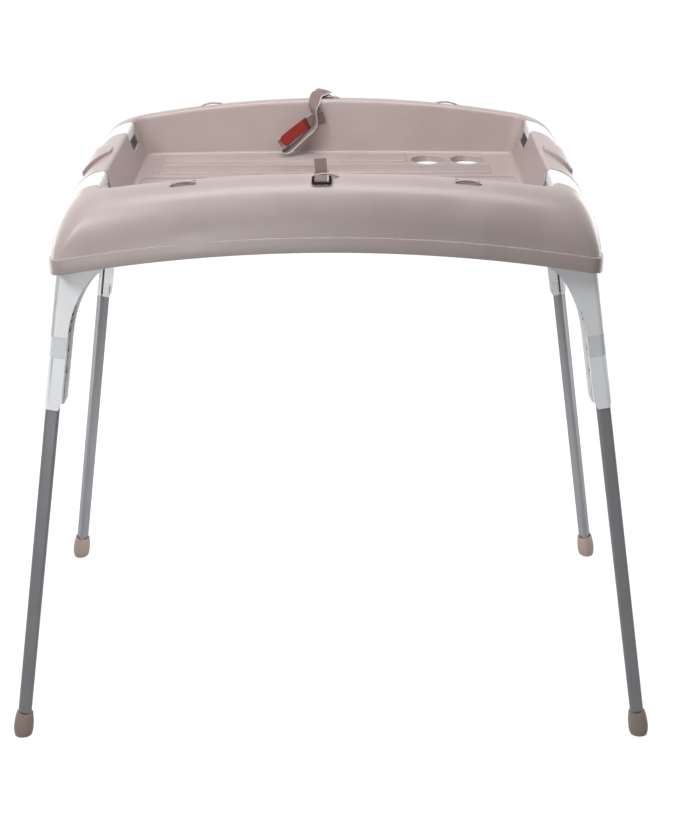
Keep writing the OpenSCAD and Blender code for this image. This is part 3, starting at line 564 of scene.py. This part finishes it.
# ---- Strap loops ----
# Low arched bridges over the notches, moulded with the rim. Their outer edges are undercut and stand
# back a little, so that light reaches the notches' floors.
bridge_in, bridge_out, undercut = -loop_bridge / 2 + 0.003, loop_bridge / 2 - 0.003, 0.003
arch_foot = loop_gap / 2 + 0.0025
arch_r = (arch_foot ** 2 + loop_rise ** 2) / (2 * loop_rise)
# The bridge's section, with soft upper edges: how far each point lies from its crest, and where across.
arch_section = ((-loop_thick, bridge_in), (-loop_thick, bridge_out - undercut), (-0.0007, bridge_out),
                (-0.0002, bridge_out - 0.0006), (0, bridge_out - 0.0016), (0, bridge_in + 0.0016),
                (-0.0002, bridge_in + 0.0006), (-0.0007, bridge_in))
reach = math.asin(arch_foot / arch_r) * 1.12
loop_arches = []
for step, side in loop_spots:
    place = loop_place(step, side)
    rings = []
    for turn in steps(-reach, reach, 28):
        rings.append([place @ Vector(((arch_r + rise) * math.sin(turn), y,
                                      loop_rise - arch_r + (arch_r + rise) * math.cos(turn)))
                      for rise, y in arch_section])
    loop_arches.append(wrap("loop_arch", rings))
strap_loops = combine("strap_loops", loop_arches)
smooth(strap_loops, 50)
# The loops' plastic has painted shade, dark brown in the narrow gaps under the arches.
shaded_polypropylene = moulded_plastic("shaded_taupe_polypropylene", "#ac9e9b", "#a79996", 0.33,
                                       recess="#4d3a32")
dress(strap_loops, shaded_polypropylene, "table", "taupe_plastic")

# ---- Carrying lips ----
# A grip moulded in one with each end wall follows its curve from the rim outwards, and stands off it
# more and more as it widens. Its edges are rounded.
lip_root, lip_width, lip_start, lip_reach = 0.020, 0.120, 0.004, 0.042
lip_root_rise, lip_edge_rise, lip_sink = 0.0045, 0.009, 0.0015
lip_over, lip_under = [], []
for share in steps(0, 1, 12):
    t = math.asin((between(lip_start, lip_reach, share) / end_slope) ** (slope_power / 2))
    ring = slope_ring(t)
    x, z = ring[0], height(ring[3], ring[0])
    lip_over.append((x, z + between(lip_root_rise, lip_edge_rise, share)))
    lip_under.append((x - math.sin(t) * lip_sink, z - math.cos(t) * lip_sink))
lip_section = lip_over + lip_under[::-1]
carrying_lips = []
for side in (-1, 1):
    block = prism("lip", [Vector((side * x, -lip_width / 2, z)) for x, z in lip_section], (0, lip_width, 0))
    plan = [(rim_x + lip_start - 0.002, -lip_root / 2), (rim_x + lip_reach + 0.001, -lip_width / 2),
            (rim_x + lip_reach + 0.001, lip_width / 2), (rim_x + lip_start - 0.002, lip_root / 2)]
    wedge = prism("wedge", [Vector((side * x, y, 0.8)) for x, y in plan], (0, 0, 0.2))
    carrying_lips.append(combine("lip", [block, wedge], "INTERSECT"))
carrying_lips = combine("carrying_lips", carrying_lips)
soften(carrying_lips, 0.0018, 4)
dress(carrying_lips, taupe_polypropylene, "table", "taupe_plastic")

# ---- Screw bosses ----
# Twelve short round posts moulded under the deck, three over each bracket's flange, that its screws
# bite into.
boss_plan = ((0.270, 0.196), (0.297, 0.196), (0.297, 0.169))
boss_r, boss_top, flange_top = 0.005, deck_z - skin + 0.001, 0.829
bosses = []
for side in (-1, 1):
    for deep in (-1, 1):
        for x, y in boss_plan:
            bpy.ops.object.select_all(action="DESELECT")
            bpy.ops.mesh.primitive_cylinder_add(vertices=32, radius=boss_r, depth=boss_top - flange_top)
            boss = bpy.context.object
            boss.data.transform(Matrix.Translation((side * x, deep * y, (boss_top + flange_top) / 2)))
            bosses.append(boss)
bosses = combine("screw_bosses", bosses)
smooth(bosses)
dress(bosses, taupe_polypropylene, "table", "taupe_plastic")

# ---- Saddles ----
# Four moulded strips of white polypropylene clipped over the end walls, their lower ends hooked into
# the slots. They lie a hair below the taupe skin.
white_polypropylene = moulded_plastic("white_polypropylene", "#eef0f1", "#e9ebed", 0.30)
corners = {"front_left": (-1, -1), "front_right": (1, -1), "rear_left": (-1, 1), "rear_right": (1, 1)}
hook_x, hook_reach, hook_inset = tab_x + saddle_sink, skin + 0.003, 0.005
hook_top, hook_bottom = tab_z - 0.0003, tab_z - 0.0017
hook = [(hook_x, tab_z + 0.001), (hook_x + saddle_thick, tab_z + 0.001), (hook_x + saddle_thick, hook_top),
        (hook_x + hook_reach, hook_top), (hook_x + hook_reach, hook_bottom), (hook_x, hook_bottom)]
for corner, (side, deep) in corners.items():
    middle, half = deep * saddle_y, saddle_width / 2
    strip = end_strip("saddle", side, middle - half, middle + half, -saddle_sink, saddle_sink + saddle_thick)
    half -= hook_inset
    tab = prism("hook", [Vector((side * x, middle - half, z)) for x, z in hook], (0, 2 * half, 0))
    saddle = combine(corner + "_saddle_skin", [strip, tab])
    soften(saddle, 0.0005)
    dress(saddle, white_polypropylene, "table", "white_plastic", corner + "_saddle")

# ---- Leg brackets ----
# White ribbed polypropylene brackets: an outer and an inner plate, a socket for the tube between them,
# ribs across, and a flange screwed under the deck. Their moulded edges are slightly rounded.


def refined(node, name):
    """A merged, smooth copy of a solid, whose edges the finish rounds."""
    copy = bpy.data.objects.new(name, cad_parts[node].data.copy())
    bpy.context.collection.objects.link(copy)
    pick(copy)
    bpy.ops.object.mode_set(mode="EDIT")
    bpy.ops.mesh.select_all(action="SELECT")
    bpy.ops.mesh.remove_doubles(threshold=1e-6)
    bpy.ops.mesh.dissolve_limited(angle_limit=math.radians(0.5))
    bpy.ops.object.mode_set(mode="OBJECT")
    smooth(copy, 30)
    return copy


# The bracket plastic has painted shade: the channel between the plates, the rib gaps and the strip under the
# hem are darkened.
bracket_polypropylene = moulded_plastic("bracket_polypropylene", "#f8fafc", "#f4f6f9", 0.34, edge=0.0011,
                                        recess="#575048")
for corner in corners:
    bracket = refined(corner + "_bracket", corner + "_bracket_moulding")
    dress(bracket, bracket_polypropylene, "table", "white_plastic", corner + "_bracket")

# ---- Inset panels ----
# A cool grey panel, moulded apart from a slightly duller plastic and let into each bracket's
# outer plate.
grey_polypropylene = moulded_plastic("grey_polypropylene", "#e2e6eb", "#dde1e6", 0.38, edge=0.0004)
for corner in corners:
    inset = refined(corner + "_inset", corner + "_inset_panel")
    dress(inset, grey_polypropylene, "table", "grey_plastic", corner + "_inset")

# ---- Release buttons ----
# White push buttons in the brackets' inner plates, moulded in the same plastic as the saddles.
# Their edges are softly rounded.
for corner in corners:
    button = refined(corner + "_button", corner + "_button_cap")
    soften(button, 0.0006)
    dress(button, white_polypropylene, corner + "_release", "white_plastic", corner + "_button")

# ---- Bracket screws ----
# Twelve steel screws, three through each bracket's flange into the bosses. Their zinc plating is a
# bright bluish metal with a faint turned grain.
zinc_plate, tree = new_material("zinc_plated_steel")
place = add_node(tree, "TexCoord").outputs["Object"]
grain = add_node(tree, "TexNoise", {"Scale": 1 / 0.0006, "Detail": 4.0}, {"Vector": place})
shine = add_node(tree, "MapRange", {"To Min": 0.22, "To Max": 0.42}, {"Value": grain.outputs[0]})
metal = add_node(tree, "BsdfPrincipled", {"Base Color": linear("#b9bdc2"), "Metallic": 1.0},
                 {"Roughness": shine.outputs[0]})
add_node(tree, "OutputMaterial", None, {"Surface": metal.outputs[0]})
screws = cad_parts["bracket_screws"]
screws.data.materials.clear()
screws.data.materials.append(zinc_plate)

# ---- Leg tubes ----
# Drawn steel tube of rounded three-sided section, 1.5 mm thick, pushed up into the bracket's socket.
# Its grey powder coat is satin, with a fine grit that breaks the highlights.
leg_mount, foot = Vector((0.376, 0.230, 0.800)), Vector((0.509, 0.284, 0.0))
socket_z, socket_depth = 0.578, 0.115
tube_width, tube_corner, tube_wall = 0.0217, 0.005, 0.0015
shoe_height, shoe_sole, shoe_r = 0.043, 0.009, 0.0165
run = (foot - leg_mount) / leg_mount.z
lean_length = math.sqrt(1 + run.x ** 2 + run.y ** 2)
lean_y = math.asin(run.y / lean_length)
lean_x = math.asin(run.x / lean_length / math.cos(lean_y))
socket = foot - Vector((run.x, run.y, -1)) * socket_z
leg_turn = Matrix.Translation(socket) @ Matrix.Rotation(-lean_x, 4, "Y") @ Matrix.Rotation(lean_y, 4, "X")
leg_below = socket_z * lean_length


def on_leg(corner, x, y, w):
    """A point given across a leg and along it from the socket's mouth, placed at that leg's corner."""
    side, deep = corners[corner]
    point = leg_turn @ Vector((x, y, w))
    return Vector((side * point.x, deep * point.y, point.z))


def three_sided(radius, per_corner=12):
    """Section points of a rounded triangle with a flat side outwards and a corner towards the middle."""
    side = tube_width - 2 * tube_corner
    inner = side / (2 * math.sqrt(3))
    points = []
    for (cx, cy), start in (((-side / 2, inner), 150), ((side / 2, inner), 30), ((0, -2 * inner), -90)):
        for turn in steps(start + 60, start - 60, per_corner):
            a = math.radians(turn)
            points.append((cx + radius * math.cos(a), cy + radius * math.sin(a)))
    return points


powder_coat, tree = new_material("grey_powder_coat")
place = add_node(tree, "TexCoord").outputs["Object"]
grit = add_node(tree, "TexNoise", {"Scale": 1 / 0.0007, "Detail": 4.0}, {"Vector": place})
cloud = add_node(tree, "TexNoise", {"Scale": 1 / 0.05, "Detail": 2.0}, {"Vector": place})
tone = add_node(tree, "ValToRGB", None, {"Fac": cloud.outputs[0]})
tone.color_ramp.elements[0].color = linear("#6f6f73")
tone.color_ramp.elements[1].color = linear("#7a7a7e")
bump = add_node(tree, "Bump", {"Strength": 0.12, "Distance": 0.0002}, {"Height": grit.outputs[0]})
coat = add_node(tree, "BsdfPrincipled", {"Roughness": 0.36, "IOR": 1.5, "Metallic": 0.25},
                {"Base Color": tone.outputs[0], "Normal": bump.outputs[0]})
add_node(tree, "OutputMaterial", None, {"Surface": coat.outputs[0]})

tube_low, tube_high, cut_edge = shoe_sole - leg_below, socket_depth - 0.0002, 0.0004
sections = [(tube_corner - tube_wall, tube_low), (tube_corner - cut_edge, tube_low),
            (tube_corner, tube_low + cut_edge), (tube_corner, tube_high - cut_edge),
            (tube_corner - cut_edge, tube_high), (tube_corner - tube_wall, tube_high)]
for corner in corners:
    rings = [[on_leg(corner, x, y, w) for x, y in three_sided(radius)] for radius, w in sections]
    tube = wrap(corner + "_tube", rings, joined=True)
    smooth(tube, 40)
    dress(tube, powder_coat, corner + "_leg", "tube_paint", corner + "_leg_tube")

# ---- Shoes ----
# Rubber shoes pushed over the tube ends: narrower towards a thin collar at the top, with a groove
# round the sole. Moulded rubber is dull, with a fine grit, and dust clouds its tone.
shoe_rubber, tree = new_material("moulded_rubber")
place = add_node(tree, "TexCoord").outputs["Object"]
grit = add_node(tree, "TexNoise", {"Scale": 1 / 0.0009, "Detail": 5.0}, {"Vector": place})
dust = add_node(tree, "TexNoise", {"Scale": 1 / 0.012, "Detail": 3.0}, {"Vector": place})
tone = add_node(tree, "ValToRGB", None, {"Fac": dust.outputs[0]})
tone.color_ramp.elements[0].color = linear("#85766e")
tone.color_ramp.elements[1].color = linear("#8f8077")
bump = add_node(tree, "Bump", {"Strength": 0.25, "Distance": 0.0003}, {"Height": grit.outputs[0]})
rubber = add_node(tree, "BsdfPrincipled", {"Roughness": 0.62, "IOR": 1.5},
                  {"Base Color": tone.outputs[0], "Normal": bump.outputs[0]})
add_node(tree, "OutputMaterial", None, {"Surface": rubber.outputs[0]})

belly, collar_taper, sole_taper, sole_curve = 0.016, 0.0026, 0.0055, 0.024


def shoe_radius(w):
    """The shoe is widest at its belly and tapers to the collar and to the sole."""
    if w > belly:
        return shoe_r - collar_taper * ((w - belly) / (shoe_height - belly)) ** 2
    return shoe_r - sole_taper * ((belly - w) / sole_curve) ** 2.2


def shoe_ring(corner, w, inwards=0.0, points=48):
    """A ring of the shoe, pressed in a little on three sides, and more so near the tube."""
    ring = []
    soft = 0.06 + 0.06 * w / shoe_height
    for turn in steps(0, 2 * math.pi, points)[:-1]:
        radius = (shoe_radius(w) - inwards) * (1 - soft * (1 + math.cos(3 * (turn - quarter))) / 2)
        ring.append(on_leg(corner, radius * math.cos(turn), radius * math.sin(turn), w - leg_below))
    return ring


groove_w, groove_depth, groove_half, groove_floor = 0.007, 0.0007, 0.0008, 0.0004
collar_round, collar_thick = 0.0012, 0.0020
for corner, (side, deep) in corners.items():
    rings = [shoe_ring(corner, w) for w in steps(-0.006, groove_w - groove_half, 6)]
    rings += [shoe_ring(corner, groove_w + w, groove_depth) for w in (-groove_floor, groove_floor)]
    rings += [shoe_ring(corner, w) for w in steps(groove_w + groove_half, shoe_height - collar_round, 14)]
    rings += [shoe_ring(corner, shoe_height - collar_round + collar_round * math.sin(a),
                        collar_round * (1 - math.cos(a))) for a in steps(0, quarter, 4)[1:]]
    rings += [shoe_ring(corner, shoe_height, collar_thick), shoe_ring(corner, shoe_height - 0.006, 0.0024)]
    shoe = wrap("shoe", rings)
    bpy.ops.object.select_all(action="DESELECT")
    bpy.ops.mesh.primitive_cube_add(size=1)
    ground = bpy.context.object
    ground.data.transform(Matrix.Translation((side * foot.x, deep * foot.y, -0.03))
                          @ Matrix.Diagonal((0.12, 0.12, 0.06, 1)))
    shoe = combine(corner + "_shoe_moulding", [shoe, ground], "DIFFERENCE")
    smooth(shoe, 50)
    dress(shoe, shoe_rubber, corner + "_leg", "shoe_rubber", corner + "_shoe")

# ---- Safety strap ----
# Polyester webbing, 20 mm wide and 1.2 mm thick, woven in fine warp cords. It comes in two parts,
# each threaded through a loop and a slider, and it keeps the folds it was put away with.
web_width, web_thick = 0.020, 0.0012
slider_thick, slider_height = 0.0022, 0.016
middle_loop_z = between(seam_curve[0], rim_curve[0],
                        top_share(math.asin((loop_out / side_slope) ** (slope_power / 2))))
under_arch = (middle_loop_z - loop_notch) * 1000 + 0.85
arch_edge = (loop_y + loop_bridge / 2) * 1000


def slope_z(y):
    t = math.asin(((y / 1000 - rim_y) / side_slope) ** (slope_power / 2))
    return 1000 * between(seam_curve[0], rim_curve[0], top_share(t))


def webbing_path(route, per_span):
    """Places and width directions along one smooth curve through a route's points, which are given
    in millimetres."""
    path = []
    last = len(route) - 1
    for i in range(last):
        a, b, c, d = (Vector(route[k][0]) for k in (max(i - 1, 0), i, i + 1, min(i + 2, last)))
        for step in range(per_span):
            t = step / per_span
            point = 0.5 * (2 * b + (c - a) * t + (2 * a - 5 * b + 4 * c - d) * t * t
                           + (3 * b - a - 3 * c + d) * t ** 3)
            path.append((point / 1000, Vector(route[i][1]).lerp(Vector(route[i + 1][1]), t)))
    path.append((Vector(route[last][0]) / 1000, Vector(route[last][1])))
    return path


def webbing_section(path, k, half, low, high, edge):
    """A flat section with rounded selvedges, square to the path."""
    ahead = (path[min(k + 1, len(path) - 1)][0] - path[max(k - 1, 0)][0]).normalized()
    wide = (path[k][1] - ahead * path[k][1].dot(ahead)).normalized()
    face = ahead.cross(wide)
    middle, rise = (low + high) / 2, (high - low) / 2
    eighths = steps(-1, 1, 8)
    section = [(across * (half - edge), low) for across in eighths]
    section += [(half - edge * 0.3, middle - rise * 0.6), (half - edge * 0.3, middle + rise * 0.6)]
    section += [(across * (half - edge), high) for across in reversed(eighths)]
    section += [(edge * 0.3 - half, middle + rise * 0.6), (edge * 0.3 - half, middle - rise * 0.6)]
    return [path[k][0] + wide * w + face * f for w, f in section]


def path_length(path):
    return sum((b[0] - a[0]).length for a, b in zip(path, path[1:]))


def webbing(name, path, low=-web_thick / 2, high=web_thick / 2, round_end=0, edge=0.0005):
    """A length of tape along a path, whose first end may be rounded. Its UV map is the flat tape,
    in metres."""
    rings = []
    for k in range(len(path)):
        half = web_width / 2
        if k < round_end:
            half *= math.sqrt(1 - ((round_end - k) / (round_end + 0.6)) ** 2)
        rings.append(webbing_section(path, k, half, low, high, edge))
    middle = rings[len(rings) // 2]
    across = [path_length([(point,) for point in middle[:k + 1]]) for k in range(len(middle))]
    across.append(across[-1] + (middle[-1] - middle[0]).length)
    along = [path_length(path[:k + 1]) for k in range(len(path))]
    piece = wrap(name, rings, spread=(across, along))
    smooth(piece, 50)
    return piece


strap_x, slider_y, slider_lift = -5, 251, 3
slider_tilt = math.atan((slope_z(slider_y - 1) - slope_z(slider_y + 1)) / 2)
web_over = (slider_thick + web_thick) * 500 + 0.25
bar_end = slider_height * 500


def front_seat(down, out):
    """A point by its place down the slope from the front slider's middle, and out from its plane."""
    cos, sin = math.cos(slider_tilt), math.sin(slider_tilt)
    return (strap_x, -slider_y - down * cos - (slider_lift + out) * sin,
            slope_z(slider_y) - down * sin + (slider_lift + out) * cos)


arch_y = loop_y * 1000
front_points = [(strap_x - 1.5, -222, 951.5), (strap_x - 0.7, -225.5, 942), (strap_x, 7.1 - arch_y, 933),
                (strap_x, 6.9 - arch_y, 930.6), (strap_x, 6.2 - arch_y, under_arch + 0.4),
                (strap_x, 4.8 - arch_y, under_arch), (strap_x, -arch_y, under_arch),
                (strap_x, 0.5 - arch_edge, under_arch), (strap_x, -arch_edge - 0.9, under_arch + 1.4)]
for down, out in ((-bar_end - 1.5, -0.8), (-bar_end - 0.6, web_over - 0.5), (-bar_end + 1.3, web_over),
                  (-3.5, web_over), (0, web_over), (1.7, web_over - 0.1), (3.2, 1.1), (3.7, 0), (3.2, -1.1),
                  (1.7, 0.1 - web_over), (-1, -web_over)):
    front_points.append(front_seat(down, out))
level_width = (1, 0, 0)
front_path = webbing_path([(point, level_width) for point in front_points], 6)
front_webbing = webbing("front_webbing", front_path)

rear_slider_at = Vector((-10, 252, 938.8))
rear_slider_turn = Matrix.Rotation(math.radians(12), 3, "Y") @ Matrix.Rotation(math.radians(-14), 3, "X")
rear_width = tuple(Matrix.Rotation(math.radians(12), 3, "Y") @ Vector((1, 0, 0)))


def rear_seat(forwards, up):
    """A point by its place forwards from the rear slider's middle, and up from its plane."""
    return tuple(rear_slider_at + rear_slider_turn @ Vector((0, -forwards, up)))


under_points = [(-2, arch_y - loop_bridge * 500 + 1, under_arch), (-2, arch_y, under_arch),
                (-2, arch_edge - 0.5, under_arch), (-3.5, arch_edge + 6, under_arch + 0.6),
                (-6.5, arch_edge + 14, under_arch + 0.4), (-9, arch_edge + 20.5, under_arch + 0.6)]
rear_route = [(point, level_width) for point in under_points]
rear_route += [((-10.5, arch_edge + 24, under_arch + 2.6), rear_width),
               ((-11, arch_edge + 22.7, under_arch + 5), rear_width)]
for forwards, up in ((-10, -web_over - 0.1), (-7.4, -web_over - 0.1), (-5.6, -web_over), (-4.4, -1.5),
                     (-3.5, 0), (-2.7, 1.5), (-1.3, web_over + 0.05), (0, web_over + 0.1),
                     (1.3, web_over + 0.05), (2.7, 1.5), (3.5, 0), (4.4, -1.5), (5.6, -web_over),
                     (7.4, -web_over - 0.1), (9.5, -web_over - 0.3), (12, -web_over - 0.7)):
    rear_route.append((rear_seat(forwards, up), rear_width))
rear_route += [((-13.5, 236.5, 939), (0.93, -0.15, -0.2)), ((-17.3, 233, 938.3), (0.88, -0.25, -0.2)),
               ((-21, 229.3, 936.6), (0.92, -0.1, -0.2)), ((-23, 224, 932.6), (0.93, 0, -0.2)),
               ((-24.2, 218, 927), (0.9, -0.1, -0.15)), ((-24.6, 212.5, 920.3), (0.65, -0.7, -0.1)),
               ((-23.6, 207.5, 912.3), (0.3, -0.95, 0)), ((-21.5, 205, 902), (0.2, -0.95, 0)),
               ((-22.3, 203.5, 893), (0.2, -0.95, -0.1)), ((-27.5, 202, 885.5), (0.15, -0.97, -0.2)),
               ((-38.3, 200, 877.3), (0.1, -0.95, -0.3)), ((-49.6, 198, 867.5), (0.1, -0.93, -0.35)),
               ((-60.5, 195, 858.6), (0.1, -0.93, -0.35)), ((-69, 191, 854), (0.1, -0.9, -0.4)),
               ((-76.5, 187.5, 855.2), (0.25, -0.65, -0.7)), ((-80.3, 185, 860.8), (0.4, -0.3, -0.85)),
               ((-77.2, 183.5, 868), (0.5, 0, -0.85)), ((-58.8, 190, 882.6), (0.5, 0.1, -0.85)),
               ((-36, 205, 896.2), (0.5, 0.1, -0.85)), ((-26, 215, 899.7), (0.45, 0, -0.85)),
               ((-17, 217.3, 902), (0.4, 0, -0.9)), ((-8.5, 217.6, 904.5), (0.4, 0, -0.9))]
per_span = 8
rear_path = webbing_path(rear_route, per_span)
rear_webbing = webbing("rear_webbing", rear_path)


# A wave texture of scale 1 has a band every 0.314 m.
band_period = 0.314


def woven(name, light, dark, cord_pitch, pick_pitch, roughness, sewn=None, selvedge_highlight=None):
    """Plain-woven tape: rounded warp cords along it, crossed by finer picks, so that raking light breaks up.
    A sewn end, pressed flat from a given length on, looks darker. A painted highlight may run along the
    selvedges, where their rounded cords catch the light."""
    material, tree = new_material(name)
    spread = add_node(tree, "TexCoord").outputs["UV"]
    cords = add_node(tree, "TexWave", {"bands_direction": "X", "Scale": band_period / cord_pitch},
                     {"Vector": spread})
    picks = add_node(tree, "TexWave", {"bands_direction": "Y", "Scale": band_period / pick_pitch},
                     {"Vector": spread})
    cloth = add_node(tree, "Math", {"operation": "MULTIPLY"})
    tree.links.new(cords.outputs["Fac"], cloth.inputs[0])
    tree.links.new(picks.outputs["Fac"], cloth.inputs[1])
    tone = add_node(tree, "ValToRGB", None, {"Fac": cloth.outputs[0]})
    tone.color_ramp.elements[0].color = linear(dark)
    tone.color_ramp.elements[1].color = linear(light)
    colour = tone.outputs[0]
    # Painted highlight: a paler band along both edges of the tape.
    if selvedge_highlight:
        across = add_node(tree, "SeparateXYZ", None, {"Vector": spread})
        inwards = add_node(tree, "Math", {"operation": "PINGPONG"})
        inwards.inputs[1].default_value = (web_width + web_thick) / 2
        tree.links.new(across.outputs["X"], inwards.inputs[0])
        border = add_node(tree, "MapRange", {"From Min": 0.0008, "From Max": 0.0014},
                          {"Value": inwards.outputs[0]})
        edge_lit = add_node(tree, "Mix", {"data_type": "RGBA"}, {"Factor": border.outputs[0]})
        edge_lit.inputs[6].default_value = linear(selvedge_highlight)
        tree.links.new(colour, edge_lit.inputs[7])
        colour = edge_lit.outputs[2]
    if sewn:
        along = add_node(tree, "SeparateXYZ", None, {"Vector": spread})
        flat_end = add_node(tree, "MapRange", {"From Min": sewn - 0.0004, "From Max": sewn + 0.0004,
                                               "To Min": 1.0, "To Max": 0.42}, {"Value": along.outputs["Y"]})
        pressed = add_node(tree, "HueSaturation", None, {"Color": colour, "Value": flat_end.outputs[0]})
        colour = pressed.outputs[0]
    bump = add_node(tree, "Bump", {"Strength": 0.35, "Distance": 0.0002}, {"Height": cloth.outputs[0]})
    fibre = add_node(tree, "BsdfPrincipled",
                     {"Roughness": roughness, "Sheen Weight": 0.2, "Sheen Roughness": 0.5},
                     {"Base Color": colour, "Normal": bump.outputs[0]})
    add_node(tree, "OutputMaterial", None, {"Surface": fibre.outputs[0]})
    return material


# The pale selvedge colour is a painted highlight along the tape's edges.
taupe_polyester = woven("taupe_polyester", "#887672", "#74635f", 0.0013, 0.0010, 0.75, selvedge_highlight="#c0b0aa")
for piece, path, node in ((front_webbing, front_path, "front_strap"),
                          (rear_webbing, rear_path, "rear_strap")):
    dress(piece, taupe_polyester, "table", "taupe_webbing", node)

# ---- Hook patch ----
# A tongue of red hook tape, 1.2 mm thick with fine rows of hooks, round at one end and sewn to the
# rear webbing at the other. It lies two spans long, three spans before the webbing's end.
patch_thick, patch_gap, sewn_length = 0.0012, 0.0001, 0.0075
last = len(rear_path) - 1
patch_path = rear_path[last - round(5.1 * per_span):last - 3 * per_span + 1]
hook_patch = webbing("hook_tongue", patch_path, -web_thick / 2 - patch_thick, -web_thick / 2 - patch_gap,
                     round_end=4, edge=0.0003)
hook_tape = woven("red_hook_tape", "#941912", "#7f110b", 0.0011, 0.0011, 0.8,
                  sewn=path_length(patch_path) - sewn_length)
dress(hook_patch, hook_tape, "table", "hook_fabric", "hook_patch")

# ---- Strap sliders ----
# Three-bar sliders that the webbing is threaded through, moulded in acetal: a dull black one on the
# front part and a grey one on the rear part.
black_acetal = moulded_plastic("black_acetal", "#0c0d0d", "#090a0a", 0.38, edge=0.0003, shine=0.1)
grey_acetal = moulded_plastic("grey_acetal", "#8d9093", "#868a8d", 0.34, edge=0.0003)
for node, acetal, slot in (("front_slider", black_acetal, "black_plastic"),
                           ("rear_slider", grey_acetal, "slider_grey")):
    slider = refined(node, node + "_moulding")
    soften(slider, 0.0004, 2)
    dress(slider, acetal, "table", slot, node)
